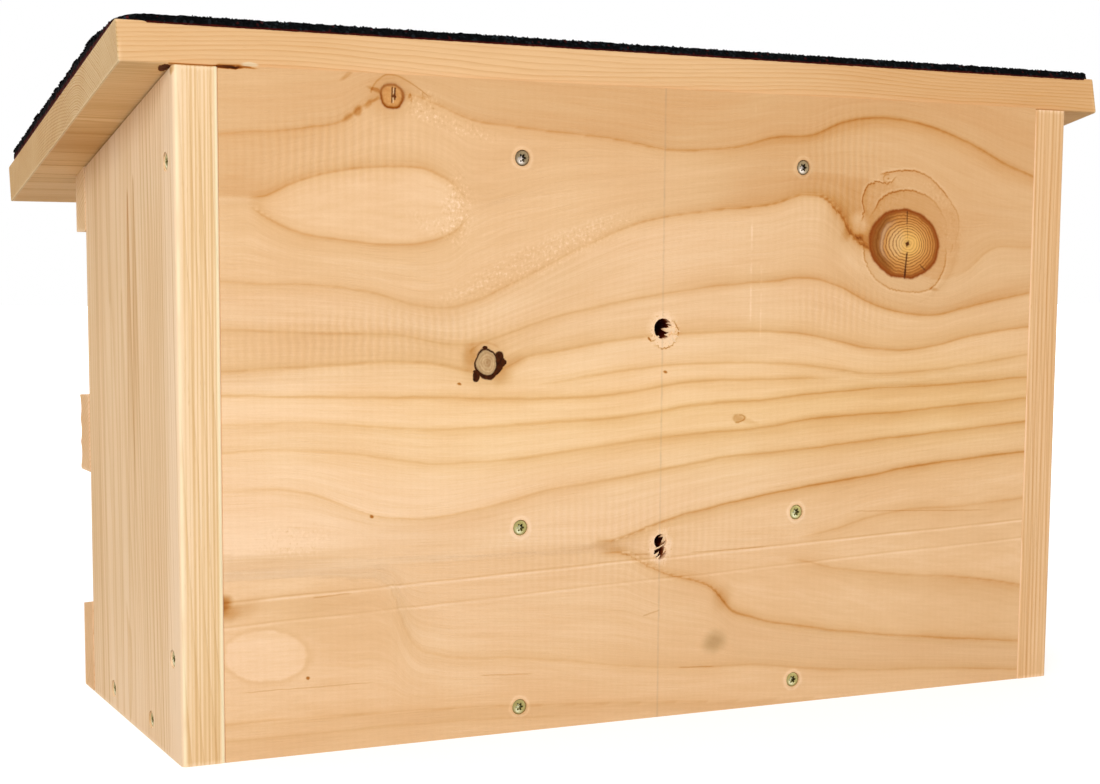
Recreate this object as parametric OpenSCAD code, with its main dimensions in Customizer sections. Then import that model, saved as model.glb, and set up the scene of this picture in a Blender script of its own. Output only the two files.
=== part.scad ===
// Three-chamber sparrow nest box of planed softwood boards, with a felted lean-to roof.
// Front faces -Y, back faces +Y, +Z is up; the origin is the middle of the base underside.

/* [Body] */
// Width over the two side boards
body_w = 480; // [420:1:560]
// Height of the back, up to the roof's underside
body_h = 305; // [290:1:340]
// Depth of the side boards, front edge to back edge
body_d = 172; // [150:1:220]
// Thickness of the side boards
side_t = 20; // [15:0.5:25]
// Thickness of the back panel
back_t = 20; // [15:0.5:25]
// Thickness of the floor board
floor_t = 20; // [18:0.5:26]
// Thickness of the two partitions between the chambers
partition_t = 20; // [16:0.5:25]
// Radius of the eased arrises along the grain of a board
arris_r = 1; // [0.5:0.1:1.5]
// Radius of the rounder arrises of the side boards
side_arris_r = 2; // [0.5:0.1:3]
// Gap that a side board leaves under the roof board
side_top_gap = 0.8; // [0.3:0.1:0.9]

/* [Roof] */
// Slope of the roof, down towards the front
roof_slope = 12; // [8:0.5:14]
// Width of the roof board
roof_w = 525; // [500:1:620]
// Length of the roof board along the slope
roof_l = 250; // [230:1:300]
// Thickness of the roof board
roof_t = 18.5; // [15:0.5:25]
// Distance that the roof board starts in front of the back face
roof_inset = 2.5; // [0:0.5:6]
// Thickness of the granule-faced roofing felt
felt_t = 4; // [2:0.5:6]
// Corner radius of the felt
felt_corner_r = 15; // [5:1:30]

/* [Front strips] */
// Thickness of the rails and ledges that stand proud of the front
strip_t = 20; // [16:0.5:25]
// Height of the top rail's back face, up to the roof's underside
top_rail_h = 32.4; // [28:0.2:40]
// Height of the bottom rail at its back
bottom_rail_h = 47; // [40:1:60]
// Fall of the bottom rail's bevelled top towards the front
bottom_rail_fall = 3.7; // [0:0.1:6]
// Distance of a ledge's top below its entrance hole
ledge_drop = 8; // [3:1:10]
// Height of a ledge at its back
ledge_h = 40; // [25:1:42]
// Fall of a ledge's bevelled top towards the front
ledge_fall = 1.4; // [0:0.1:5]
// Number of hollows along a ledge's front face, for the birds' claws
ledge_hollows = 3; // [1:1:3]
// Distance between those hollows
hollow_pitch = 12; // [10:0.5:12.5]
// Depth of a hollow
hollow_depth = 2.2; // [0.5:0.1:3]
// Radius of a hollow
hollow_r = 9; // [8:0.5:14]
// Gap between the ends of neighbouring ledges
ledge_gap = 1; // [0.6:0.1:3]

/* [Doors] */
// Thickness of the three door panels
door_t = 20; // [16:0.5:24]
// Gap at each side of a door
door_side_gap = 1.5; // [0.8:0.1:3]
// Gap under a door, above the bottom rail
door_bottom_gap = 2; // [1.8:0.1:4]
// Gap over a door, below the level of the top rail
door_top_gap = 1; // [0.6:0.1:2.5]
// Diameter of the entrance holes
entrance_d = 34; // [28:1:36]
// Distance of the middle of the entrance holes below the top rail
entrance_drop = 57; // [45:1:60]
// Width of the chamfer round an entrance hole's front edge
entrance_chamfer = 1.5; // [0.5:0.1:3]

/* [Hanging and drain holes] */
// Distance of the hanging holes from the middle
hang_x = 1.5; // [-5:0.5:5]
// Height of the upper hanging hole
hang_high_z = 191; // [180:1:210]
// Radius of the upper hanging hole
hang_high_r = 5; // [3:0.5:7]
// Height of the upper bore of the double-drilled lower hole
hang_low_z = 87.5; // [80:0.5:110]
// Radius of the two bores of the lower hole
hang_low_r = 3.5; // [2.5:0.5:5]
// Distance between the two bores of the lower hole
hang_low_pitch = 5.5; // [5:0.1:6]
// Radius of the floor's drain holes
drain_r = 4; // [3:0.5:6]
// Distance of a drain hole from the middle of its chamber
drain_x = 36; // [20:1:45]

/* [Hinges] */
// Length of a butt hinge along its pin
hinge_l = 30; // [24:1:40]
// Radius of the rolled knuckles
knuckle_r = 2.5; // [2.2:0.1:3]
// Radius of the hinge pin
hinge_pin_r = 1.1; // [0.9:0.05:1.4]
// Running clearance of the pin in the door leaf
pin_clear = 0.05; // [0.02:0.01:0.1]
// Thickness of a leaf
leaf_t = 1.2; // [0.8:0.1:1.5]
// Reach of a leaf from the hinge axis
leaf_reach = 16; // [15:0.5:18]
// Clearance of a knuckle from the board behind it
knuckle_clear = 0.3; // [0.2:0.05:0.6]
// Gap between neighbouring knuckles
knuckle_gap = 0.2; // [0.1:0.05:0.5]
// Distance of a hinge from the middle of its door
hinge_x = 40; // [36:1:44]

/* [Turn buttons] */
// Length of a turn button
button_l = 34; // [30:1:36]
// Width of a turn button
button_w = 12; // [10:0.5:14]
// Thickness of a turn button
button_t = 2; // [1.5:0.1:3]
// Thickness of the washer under a turn button
washer_t = 1; // [0.8:0.1:2]
// Radius of that washer
washer_r = 5; // [4:0.5:6]
// Play at each face of a turn button
button_play = 0.3; // [0.2:0.05:0.5]
// Height of the round head of a turn button's screw
button_head_h = 2.5; // [1.8:0.1:3]
// Depth that a turn button's screw goes into the wood
button_screw_bite = 24; // [15:1:30]

/* [Screws] */
// Shank radius of the board screws
screw_r = 2; // [1.5:0.1:2.4]
// Length of the board screws
screw_l = 45; // [38:1:60]
// Head radius of the board screws
screw_head_r = 4; // [3.5:0.1:5]
// Depth that a board screw's head is sunk below the wood
screw_sink = 0.6; // [0:0.1:1.2]
// Length of the screws that hold a ledge from inside its door
ledge_screw_l = 34; // [30:1:36]
// Shank radius of the hinge screws
hinge_screw_r = 1.3; // [1:0.1:1.5]
// Length of the hinge screws
hinge_screw_l = 13; // [10:1:15]
// Head radius of the hinge screws
hinge_screw_head_r = 2.7; // [2.4:0.1:3]
// Clearance round a shank where it passes through
screw_clear = 0.2; // [0.1:0.05:0.4]
// Distance of the upper back screws below the top of the back
back_screw_drop = 35; // [30:1:45]
// Height of the middle back screws
back_screw_z = 98; // [70:1:120]
// Inset of the side boards' two back screws from the back face
side_screw_inset = 14; // [10:0.5:14]
// Distance of the upper side screw below the top of the back
side_screw_drop = 41; // [36:1:60]
// Height of the lower side screw
side_screw_z = 46; // [40:1:80]
// Distance of the first floor screw in a side board from its front edge
floor_screw_front = 44; // [36:1:56]
// Distance between the two floor screws in a side board
floor_screw_pitch = 74; // [50:1:78]
// Height of the screws above the top rail's underside
top_rail_screw_rise = 15; // [11:0.5:18]
// Height of the screws in the bottom rail
bottom_rail_screw_z = 33; // [27:0.5:35]
// Distance of the front row of roof screws from the front edge of the sides
roof_screw_front = 45; // [42:1:60]
// Distance of the back row of roof screws from the back face
roof_screw_back = 66; // [64:1:80]

/* [Hidden] */
$fn = 48;

back_y = body_d / 2;
front_y = -body_d / 2;
side_x = body_w / 2;
inner_x = side_x - side_t;
inner_y = back_y - back_t;
chamber_w = (2 * inner_x - 2 * partition_t) / 3;
chamber_pitch = chamber_w + partition_t;
partition_x = chamber_pitch / 2;
far = 2 * (roof_w + roof_l);

top_rail_z = roof_z(front_y) - top_rail_h;
entrance_z = top_rail_z - entrance_drop;
ledge_z = entrance_z - entrance_d / 2 - ledge_drop - ledge_h;
door_w = chamber_w - 2 * door_side_gap;
door_z0 = bottom_rail_h + door_bottom_gap;
door_z1 = top_rail_z - door_top_gap;
strip_y = front_y - strip_t;

hinge_off = knuckle_r + knuckle_clear;
hinge_y = front_y - hinge_off;
hinge_z = top_rail_z - hinge_off;
leaf_screw_reach = (hinge_off + leaf_reach) / 2;
leaf_screw_x = hinge_l / 2 - 1.7 * hinge_screw_head_r;
knuckle_l = hinge_l / 3;
hinge_xs = [for (door = [-1, 0, 1], side = [-1, 1]) door * chamber_pitch + side * hinge_x];

button_z = (bottom_rail_h + ledge_z) / 2;
button_y = front_y - washer_t - button_play;
wood_light = [0.86, 0.70, 0.50];
wood_warm = [0.82, 0.64, 0.43];
zinc = [0.72, 0.74, 0.76];
yellow_zinc = [0.74, 0.68, 0.36];

// Height of the roof's underside at depth y
function roof_z(y) = body_h - (back_y - y) * tan(roof_slope);

// Board cross-section from the origin, a by b, with eased corners
module eased(a, b, r = arris_r) {
    translate([r, 0]) square([a - 2 * r, b]);
    translate([0, r]) square([a, b - 2 * r]);
    for (x = [r, a - r], y = [r, b - r]) translate([x, y]) circle(r);
}

// A board whose grain runs along X, centred on x: section in Y and Z, from y0 and z0
module board_x(x, length, y0, z0, depth, height) {
    translate([x - length / 2, y0, z0]) rotate([90, 0, 90])
        linear_extrude(length) eased(depth, height);
}

// A board whose grain runs upwards: section in X and Y, from x0 and y0
module board_z(x0, y0, z0, width, depth, height, r = arris_r) {
    translate([x0, y0, z0]) linear_extrude(height) eased(width, depth, r);
}

// Moves its children into the roof's frame: underside at z = 0, running towards -Y
module on_roof() {
    y = back_y - roof_inset;
    translate([0, y, roof_z(y)]) rotate([roof_slope, 0, 0]) children();
}

// Cuts its children off along the roof's underside, or the given gap below it
module under_roof(gap = 0) {
    difference() {
        children();
        translate([0, back_y, body_h - gap / cos(roof_slope)]) rotate([roof_slope, 0, 0])
            translate([-far / 2, -far / 2, 0]) cube(far);
    }
}

// Countersunk wood screw, head face at the origin and its point towards +Z
module wood_screw(r, length, head_r, grow = 0) {
    head_h = head_r - r;
    cylinder(h = head_h, r1 = head_r + grow, r2 = r + grow);
    cylinder(h = length - 2 * r, r = r + grow);
    translate([0, 0, length - 2 * r]) cylinder(h = 2 * r, r1 = r + grow, r2 = 0.2);
}

module board_screw() { wood_screw(screw_r, screw_l, screw_head_r); }

// Countersunk hole through the first board for a screw of that size
module screw_seat(r, length, head_r, sink = 0) {
    wood_screw(r, length, head_r, screw_clear);
    if (sink > 0) translate([0, 0, -sink - 1]) cylinder(h = sink + 1, r = head_r + screw_clear);
}

module board_screw_seat() { screw_seat(screw_r, screw_l, screw_head_r, screw_sink); }

// ---- screw places: each module puts its children at the heads, pointing along +Z ----

module at_back_screws(high, low) {
    heights = concat(high ? [body_h - back_screw_drop] : [], low ? [back_screw_z, floor_t * 0.6] : []);
    for (x = [-partition_x, partition_x], z = heights)
        translate([x, back_y - screw_sink, z]) rotate([90, 0, 0]) children();
}

module at_side_screws(side) {
    for (z = [side_screw_z, body_h - side_screw_drop])
        translate([side * (side_x - screw_sink), back_y - side_screw_inset, z])
            rotate([0, -side * 90, 0]) children();
    for (y = [0, floor_screw_pitch])
        translate([side * (side_x - screw_sink), front_y + floor_screw_front + y, floor_t / 2])
            rotate([0, -side * 90, 0]) children();
}

module at_rail_screws(z) {
    for (x = [-side_x + side_t / 2, -partition_x, partition_x, side_x - side_t / 2])
        translate([x, strip_y + screw_sink, z]) rotate([-90, 0, 0]) children();
}

module at_roof_screws() {
    for (x = [-side_x + side_t / 2, -partition_x, partition_x, side_x - side_t / 2],
         y = [back_y - roof_screw_back, front_y + roof_screw_front])
        translate([x, y, roof_z(y) + (roof_t - screw_sink) / cos(roof_slope)])
            rotate([180 + roof_slope, 0, 0]) children();
}

module at_frame_leaf_screws() {
    for (x = hinge_xs, side = [-1, 1])
        translate([x + side * leaf_screw_x, hinge_y - leaf_screw_reach, hinge_z + hinge_off - leaf_t])
            children();
}

module at_door_leaf_screws() {
    for (x = [-hinge_x, hinge_x], side = [-1, 1])
        translate([x + side * leaf_screw_x, hinge_y + hinge_off - leaf_t, hinge_z - leaf_screw_reach])
            rotate([-90, 0, 0]) children();
}

module at_ledge_screws() {
    for (side = [-1, 1])
        translate([side * door_w / 3, front_y + door_t - screw_sink, ledge_z + ledge_h / 2])
            rotate([90, 0, 0]) children();
}

// ---- carcass ----

module side_board(side) {
    color(wood_light) under_roof(side_top_gap) difference() {
        board_z(side > 0 ? inner_x : -side_x, front_y, 0, side_t, body_d, body_h, side_arris_r);
        at_side_screws(side) board_screw_seat();
    }
}

module back_panel() {
    color(wood_warm) under_roof() difference() {
        board_x(0, 2 * inner_x, inner_y, 0, back_t, body_h + arris_r);
        at_back_screws(true, true) board_screw_seat();
        translate([hang_x, inner_y - 1, hang_high_z]) rotate([-90, 0, 0])
            cylinder(h = back_t + 2, r = hang_high_r);
        for (z = [hang_low_z, hang_low_z - hang_low_pitch])
            translate([hang_x, inner_y - 1, z]) rotate([-90, 0, 0])
                cylinder(h = back_t + 2, r = hang_low_r);
    }
}

module floor_board() {
    color(wood_light) difference() {
        board_x(0, 2 * inner_x, front_y, 0, inner_y - front_y, floor_t);
        for (chamber = [-1, 0, 1], side = [-1, 1])
            translate([chamber * chamber_pitch + side * drain_x, (inner_y + front_y + door_t) / 2, -1])
                cylinder(h = floor_t + 2, r = drain_r);
    }
}

module partition(side) {
    color(wood_light) under_roof()
        board_z(side * partition_x - partition_t / 2, front_y, floor_t,
                partition_t, inner_y - front_y, body_h - floor_t);
}

module roof_board() {
    color(wood_warm) difference() {
        on_roof() board_x(0, roof_w, -roof_l, 0, roof_l, roof_t);
        at_roof_screws() board_screw_seat();
    }
}

module roof_felt() {
    color([0.12, 0.14, 0.14]) on_roof() translate([-roof_w / 2, -roof_l, roof_t])
        linear_extrude(felt_t) eased(roof_w, roof_l, felt_corner_r);
}

module top_rail() {
    color(wood_light) under_roof() difference() {
        board_x(0, body_w, strip_y, top_rail_z, strip_t, body_h - top_rail_z);
        at_rail_screws(top_rail_z + top_rail_screw_rise) board_screw_seat();
    }
}

// Strip with its top bevelled down towards the front
module bevelled_strip(x0, x1, z, height, fall) {
    drop = atan(fall / strip_t);
    color(wood_light) difference() {
        board_x((x0 + x1) / 2, x1 - x0, strip_y, z, strip_t, height + arris_r);
        translate([x0 - 1, front_y, z + height]) rotate([drop, 0, 0])
            translate([0, -2 * strip_t, 0]) cube([x1 - x0 + 2, 3 * strip_t, 3 * strip_t]);
    }
}

module bottom_rail() {
    difference() {
        bevelled_strip(-side_x, side_x, 0, bottom_rail_h, bottom_rail_fall);
        at_rail_screws(bottom_rail_screw_z) board_screw_seat();
    }
}

// ---- butt hinges ----

// Leaf in the hinge's own frame: pin along X, plate lying along -Y at height hinge_off
module leaf(spans, bore_r) {
    plate_y = hinge_off + knuckle_gap;
    difference() {
        union() {
            translate([-hinge_l / 2, -leaf_reach, hinge_off - leaf_t])
                cube([hinge_l, leaf_reach - plate_y, leaf_t]);
            for (span = spans) {
                length = span[1] - span[0];
                translate([span[0], 0, 0]) rotate([0, 90, 0]) cylinder(h = length, r = knuckle_r);
                translate([span[0], -plate_y - 0.5, hinge_off - leaf_t])
                    cube([length, plate_y + 0.5, leaf_t]);
            }
        }
        translate([-hinge_l, 0, 0]) rotate([0, 90, 0]) cylinder(h = 2 * hinge_l, r = bore_r);
        for (x = [-leaf_screw_x, leaf_screw_x])
            translate([x, -leaf_screw_reach, hinge_off - leaf_t])
                screw_seat(hinge_screw_r, hinge_screw_l, hinge_screw_head_r);
    }
}

module frame_hinge_leaves() {
    spans = [[-hinge_l / 2, -knuckle_l / 2 - knuckle_gap], [knuckle_l / 2 + knuckle_gap, hinge_l / 2]];
    color(zinc) for (x = hinge_xs)
        translate([x, hinge_y, hinge_z]) leaf(spans, hinge_pin_r);
}

module hinge_pins() {
    color(zinc) for (x = hinge_xs)
        translate([x - hinge_l / 2, hinge_y, hinge_z]) rotate([0, 90, 0])
            cylinder(h = hinge_l, r = hinge_pin_r);
}

module frame_hinge_screws() {
    color(zinc) at_frame_leaf_screws() wood_screw(hinge_screw_r, hinge_screw_l, hinge_screw_head_r);
}

// ---- doors: each made about x = 0, then moved to its chamber ----

module door_panel() {
    color(wood_warm) difference() {
        board_z(-door_w / 2, front_y, door_z0, door_w, door_t, door_z1 - door_z0);
        translate([0, front_y - 1, entrance_z]) rotate([-90, 0, 0])
            cylinder(h = door_t + 2, r = entrance_d / 2);
        translate([0, front_y, entrance_z]) rotate([-90, 0, 0])
            cylinder(h = entrance_chamfer, r1 = entrance_d / 2 + entrance_chamfer, r2 = entrance_d / 2);
        at_ledge_screws() screw_seat(screw_r, ledge_screw_l, screw_head_r, screw_sink);
    }
}

module door_leaves() {
    span = [[-knuckle_l / 2, knuckle_l / 2]];
    color(zinc) for (x = [-hinge_x, hinge_x])
        translate([x, hinge_y, hinge_z]) rotate([90, 0, 0]) mirror([0, 0, 1])
            leaf(span, hinge_pin_r + pin_clear);
}

module door_leaf_screws() {
    color(zinc) at_door_leaf_screws() wood_screw(hinge_screw_r, hinge_screw_l, hinge_screw_head_r);
}

module ledge_screws() {
    color(yellow_zinc) at_ledge_screws() wood_screw(screw_r, ledge_screw_l, screw_head_r);
}

module ledge(door) {
    outer = side_x;
    inner = partition_x + ledge_gap / 2;
    x0 = door > 0 ? inner : (door < 0 ? -outer : ledge_gap / 2 - partition_x);
    x1 = door > 0 ? outer : (door < 0 ? -inner : partition_x - ledge_gap / 2);
    color(wood_light) difference() {
        bevelled_strip(x0, x1, ledge_z, ledge_h, ledge_fall);
        for (i = [0 : ledge_hollows - 1])
            translate([x0 - 1, strip_y + hollow_depth - hollow_r,
                       ledge_z + ledge_h / 2 + (i - (ledge_hollows - 1) / 2) * hollow_pitch])
                rotate([0, 90, 0]) cylinder(h = x1 - x0 + 2, r = hollow_r);
    }
}

module in_chamber(door) { translate([door * chamber_pitch, 0, 0]) children(); }

// ---- turn buttons ----

module turn_button(side) {
    straight = button_l - button_w;
    color(zinc) translate([side * partition_x, button_y, button_z]) rotate([90, 0, 0])
        linear_extrude(button_t) difference() {
            union() {
                square([button_w, straight], center = true);
                for (z = [-straight / 2, straight / 2]) translate([0, z]) circle(button_w / 2);
            }
            circle(screw_r + pin_clear);
        }
}

module button_washers() {
    color(zinc) for (side = [-1, 1])
        translate([side * partition_x, front_y, button_z]) rotate([90, 0, 0])
            linear_extrude(washer_t) difference() {
                circle(washer_r);
                circle(screw_r + screw_clear);
            }
}

// Round-headed pivot screw of a turn button
module button_screws() {
    head_y = button_y - button_t - button_play;
    shank = front_y - head_y + button_screw_bite;
    rim = button_head_h / 2;
    color(zinc) for (side = [-1, 1])
        translate([side * partition_x, head_y, button_z]) {
            rotate([-90, 0, 0]) cylinder(h = shank, r = screw_r);
            rotate([90, 0, 0]) cylinder(h = rim, r = screw_head_r);
            rotate([90, 0, 0]) translate([0, 0, rim])
                cylinder(h = button_head_h - rim, r1 = screw_head_r, r2 = screw_head_r * 0.6);
        }
}

back_panel();
side_board(1);  // side_left
side_board(-1);  // side_right
floor_board();
partition(1);  // partition_left
partition(-1);  // partition_right
roof_board();
roof_felt();
top_rail();
bottom_rail();
color(zinc) at_back_screws(true, false) board_screw();  // back_screws_zinc
color(yellow_zinc) at_back_screws(false, true) board_screw();  // back_screws_yellow
color(yellow_zinc) at_side_screws(1) board_screw();  // side_screws_left
color(yellow_zinc) at_side_screws(-1) board_screw();  // side_screws_right
color(yellow_zinc) at_rail_screws(top_rail_z + top_rail_screw_rise) board_screw();  // top_rail_screws
color(yellow_zinc) at_rail_screws(bottom_rail_screw_z) board_screw();  // bottom_rail_screws
color(yellow_zinc) at_roof_screws() board_screw();  // roof_screws
frame_hinge_leaves();
hinge_pins();
frame_hinge_screws();
button_washers();
button_screws();
in_chamber(1) door_panel();  // door_left
ledge(1);  // ledge_left
in_chamber(1) door_leaves();  // door_leaves_left
in_chamber(1) door_leaf_screws();  // door_leaf_screws_left
in_chamber(1) ledge_screws();  // ledge_screws_left
in_chamber(0) door_panel();  // door_middle
ledge(0);  // ledge_middle
in_chamber(0) door_leaves();  // door_leaves_middle
in_chamber(0) door_leaf_screws();  // door_leaf_screws_middle
in_chamber(0) ledge_screws();  // ledge_screws_middle
in_chamber(-1) door_panel();  // door_right
ledge(-1);  // ledge_right
in_chamber(-1) door_leaves();  // door_leaves_right
in_chamber(-1) door_leaf_screws();  // door_leaf_screws_right
in_chamber(-1) ledge_screws();  // ledge_screws_right
turn_button(1);  // turn_button_left
turn_button(-1);  // turn_button_right
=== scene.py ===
import math
from functools import partialmethod

import bpy
import numpy as np
from mathutils import Matrix, Vector


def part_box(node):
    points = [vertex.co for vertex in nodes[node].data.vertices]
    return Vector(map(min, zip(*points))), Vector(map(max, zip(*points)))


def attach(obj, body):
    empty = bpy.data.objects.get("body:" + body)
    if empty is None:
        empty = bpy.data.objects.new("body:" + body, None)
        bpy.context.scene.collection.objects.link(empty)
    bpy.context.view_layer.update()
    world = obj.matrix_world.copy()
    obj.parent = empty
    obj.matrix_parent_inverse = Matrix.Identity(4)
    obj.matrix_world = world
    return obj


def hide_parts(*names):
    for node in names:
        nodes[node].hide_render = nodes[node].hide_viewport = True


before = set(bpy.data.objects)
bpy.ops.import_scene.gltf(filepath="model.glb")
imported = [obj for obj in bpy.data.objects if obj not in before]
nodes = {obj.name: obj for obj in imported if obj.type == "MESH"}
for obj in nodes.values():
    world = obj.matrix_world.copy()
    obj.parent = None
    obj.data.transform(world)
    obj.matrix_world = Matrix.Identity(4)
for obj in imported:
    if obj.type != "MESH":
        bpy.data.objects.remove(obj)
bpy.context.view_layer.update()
mm = 0.001
print("frame: %d CAD nodes loaded" % len(nodes))


def paint(red, green, blue):
    # a colour written as it looks on screen, turned into linear values: ((c / 255 + 0.055) / 1.055) ^ 2.4
    return tuple(((c / 255 + 0.055) / 1.055) ** 2.4 for c in (red, green, blue)) + (1.0,)


def addToScene(name, data):
    thing = bpy.data.objects.new(name, data)
    bpy.context.scene.collection.objects.link(thing)
    return thing


def addMesh(name, points, faces, angle=None, replaced=()):
    # points are in millimetres in the shared frame, faces are index lists; edges sharper than the angle stay crisp
    mesh = bpy.data.meshes.new(name)
    mesh.from_pydata((np.asarray(points) * mm).tolist(), [], faces if isinstance(faces, list) else faces.tolist())
    mesh.update()
    piece = addToScene(name, mesh)
    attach(piece, "carcass")
    if angle:
        mesh.polygons.foreach_set("use_smooth", np.ones(len(mesh.polygons), bool))
        mesh.set_sharp_from_angle(angle=math.radians(angle))
    if replaced:
        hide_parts(*replaced)
    return piece


def addField(piece, name, values):
    # one number or one vector for each point
    kind, field = ("FLOAT_VECTOR", "vector") if values.ndim > 1 else ("FLOAT", "value")
    piece.data.attributes.new(name, kind, "POINT").data.foreach_set(field, values.astype(np.float32).ravel())


def gridFaces(rows, columns, first=0, wrap=False):
    # quads of a rows x columns grid: corners r * columns + c, where wrap joins the last column to the first
    r, c = np.meshgrid(np.arange(rows - 1), np.arange(columns if wrap else columns - 1), indexing="ij")
    r, c = r.ravel(), c.ravel()
    d = (c + 1) % columns
    return first + np.stack([r * columns + c, r * columns + d, (r + 1) * columns + d, (r + 1) * columns + c], 1)


def dress(piece, material):
    # a piece made here, or a CAD node: every slot gets the material
    if not piece.material_slots:
        piece.data.materials.append(material)
    for holder in piece.material_slots:
        holder.material = material


def plug(item, socket):
    if isinstance(item, Term):
        item.tree.links.new(item.socket, socket)
    else:
        socket.default_value = item


def made(tree, kind, values=(), out=0, **settings):
    # the output of a new shader node; its inputs are listed in order, or by place or title
    node = tree.nodes.new("ShaderNode" + kind)
    for title, value in settings.items():
        setattr(node, title, value)
    for place, item in values.items() if isinstance(values, dict) else enumerate(values):
        plug(item, node.inputs[place])
    return Term(tree, node.outputs[out])


class Term:
    # a shader value that is added, multiplied and compared like a number
    def __init__(self, tree, socket):
        self.tree, self.socket = tree, socket

    def use(self, kind, *others):
        return made(self.tree, "Math", (self,) + others, operation=kind)

    def step(self, start, end):
        # 0 before start, 1 after end, smooth between
        return made(self.tree, "MapRange", {"Value": self, "From Min": start, "From Max": end},
                    interpolation_type="SMOOTHSTEP")

    def bell(self, width):
        # 1 where the value is nought, falling away over the width: exp(-(value / width)^2)
        half = self / width
        return (-(half * half)).exp()

    __rsub__, __neg__ = partialmethod(use, "MULTIPLY_ADD", -1.0), partialmethod(use, "MULTIPLY", -1.0)


for titles, kind in {"__add__ __radd__": "ADD", "__sub__": "SUBTRACT", "__mul__ __rmul__": "MULTIPLY",
                     "__truediv__": "DIVIDE", "__abs__": "ABSOLUTE", "sqrt": "SQRT", "exp": "EXPONENT",
                     "fract": "FRACT",
                     "floor": "FLOOR", "sine": "SINE", "low": "MINIMUM", "high": "MAXIMUM"}.items():
    for title in titles.split():
        setattr(Term, title, partialmethod(Term.use, kind))


def length(a, b):
    return (a * a + b * b).sqrt()


def treeOf(*items):
    return next(item.tree for item in items if isinstance(item, Term))


def combine(a, b, c):
    return made(treeOf(a, b, c), "CombineXYZ", (a, b, c))


def scaled(place, *sizes):
    # a place divided by one size, or by one for each axis
    return combine(*[axis / size for axis, size in zip(place, sizes * (3 // len(sizes)))])


def split(vector):
    return [Term(vector.tree, out) for out in made(vector.tree, "SeparateXYZ", (vector,)).socket.node.outputs]


def noise(vector, detail=2.0, rough=0.5, out="Fac"):
    # cloudy noise around 0, about -0.5 to 0.5; the vector is already in noise units
    cloudy = made(vector.tree, "TexNoise", {"Vector": vector, "Scale": 1.0, "Detail": detail, "Roughness": rough}, out)
    return cloudy - 0.5 if out == "Fac" else [part - 0.5 for part in split(cloudy)]


def cells(vector, out="Distance"):
    return made(vector.tree, "TexVoronoi", {"Vector": vector, "Scale": 1.0}, out)


def mix(factor, first, second, kind="MIX"):
    return made(treeOf(factor, first, second), "Mix", {0: factor, 6: first, 7: second}, 2, data_type="RGBA",
                blend_type=kind)


def colourScale(value, stops):
    # value runs through the stops: place from 0 to 1, then red, green and blue
    scale = made(value.tree, "ValToRGB", (value,))
    elements = scale.socket.node.color_ramp.elements
    for count, (at, *colour) in enumerate(stops):
        stop = elements[count] if count < 2 else elements.new(at)
        stop.position, stop.color = at, paint(*colour)
    return scale


def newGroup(name, inputs, outputs):
    # inputs by title and starting value: one number, a vector of three or a colour of four
    group = bpy.data.node_groups.new(name, "ShaderNodeTree")
    kinds = {1: "NodeSocketFloat", 3: "NodeSocketVector", 4: "NodeSocketColor"}
    for title, value in inputs.items():
        kind = kinds[len(value) if isinstance(value, tuple) else 1]
        group.interface.new_socket(name=title, in_out="INPUT", socket_type=kind).default_value = value
    for title in outputs:
        group.interface.new_socket(name=title, in_out="OUTPUT", socket_type=kinds[4 if title == "Color" else 1])
    start, end = group.nodes.new("NodeGroupInput"), group.nodes.new("NodeGroupOutput")
    return group, [Term(group, start.outputs[title]) for title in inputs], end


def useGroup(tree, group, values):
    node = tree.nodes.new("ShaderNodeGroup")
    node.node_tree = group
    for title, item in values.items():
        plug(item, node.inputs[title])
    return {out.name: Term(tree, out) for out in node.outputs}


def newMaterial(name, roughness, **settings):
    # an empty material, its shader with constant inputs set, and the place in millimetres
    material = bpy.data.materials.new(name)
    material.use_nodes = True
    tree = material.node_tree
    tree.nodes.clear()
    shader, end = tree.nodes.new("ShaderNodeBsdfPrincipled"), tree.nodes.new("ShaderNodeOutputMaterial")
    tree.links.new(shader.outputs[0], end.inputs[0])
    shader.inputs["Roughness"].default_value = roughness
    for title, value in settings.items():
        shader.inputs[title.replace("_", " ")].default_value = value
    return material, tree, shader, [axis * 1000.0 for axis in split(made(tree, "TexCoord", (), "Object"))]


def attribute(tree, name, out="Vector"):
    return made(tree, "Attribute", (), out, attribute_name=name)


def finishShader(shader, colour, roughness, height, distance, strength):
    # the surface's colour and roughness, and a bump whose height is in units of the distance
    plug(colour, shader.inputs["Base Color"])
    plug(roughness, shader.inputs["Roughness"])
    plug(made(height.tree, "Bump", {"Height": height, "Distance": distance, "Strength": strength}),
         shader.inputs["Normal"])


def seenRays(tree):
    # 1 for what the camera sees straight on, in a reflection or through glass
    kinds = ("Camera", "Glossy", "Transmission")
    camera, glossy, passing = [made(tree, "LightPath", (), "Is %s Ray" % kind) for kind in kinds]
    return camera.high(glossy).high(passing)


view = {"eye": (0.4619, 0.9184, 0.2209), "aim": (0.0534, 0.0860, 0.1163), "roll": 0.45,
        "lens": 64.3, "shift": (-0.0141, 0.0865), "film": 36.0, "near": 0.01, "far": 50.0}
camera = addToScene("camera", bpy.data.cameras.new("camera"))
eye, aim = Vector(view["eye"]), Vector(view["aim"])
turn = (aim - eye).to_track_quat("-Z", "Y").to_matrix() @ Matrix.Rotation(math.radians(view["roll"]), 3, "Z")
camera.matrix_world = Matrix.Translation(eye) @ turn.to_4x4()
camera.data.lens, camera.data.sensor_width = view["lens"], view["film"]
camera.data.shift_x, camera.data.shift_y = view["shift"]
camera.data.clip_start, camera.data.clip_end = view["near"], view["far"]
bpy.context.scene.camera = camera
bpy.context.scene.view_settings.view_transform = "Standard"

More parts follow.
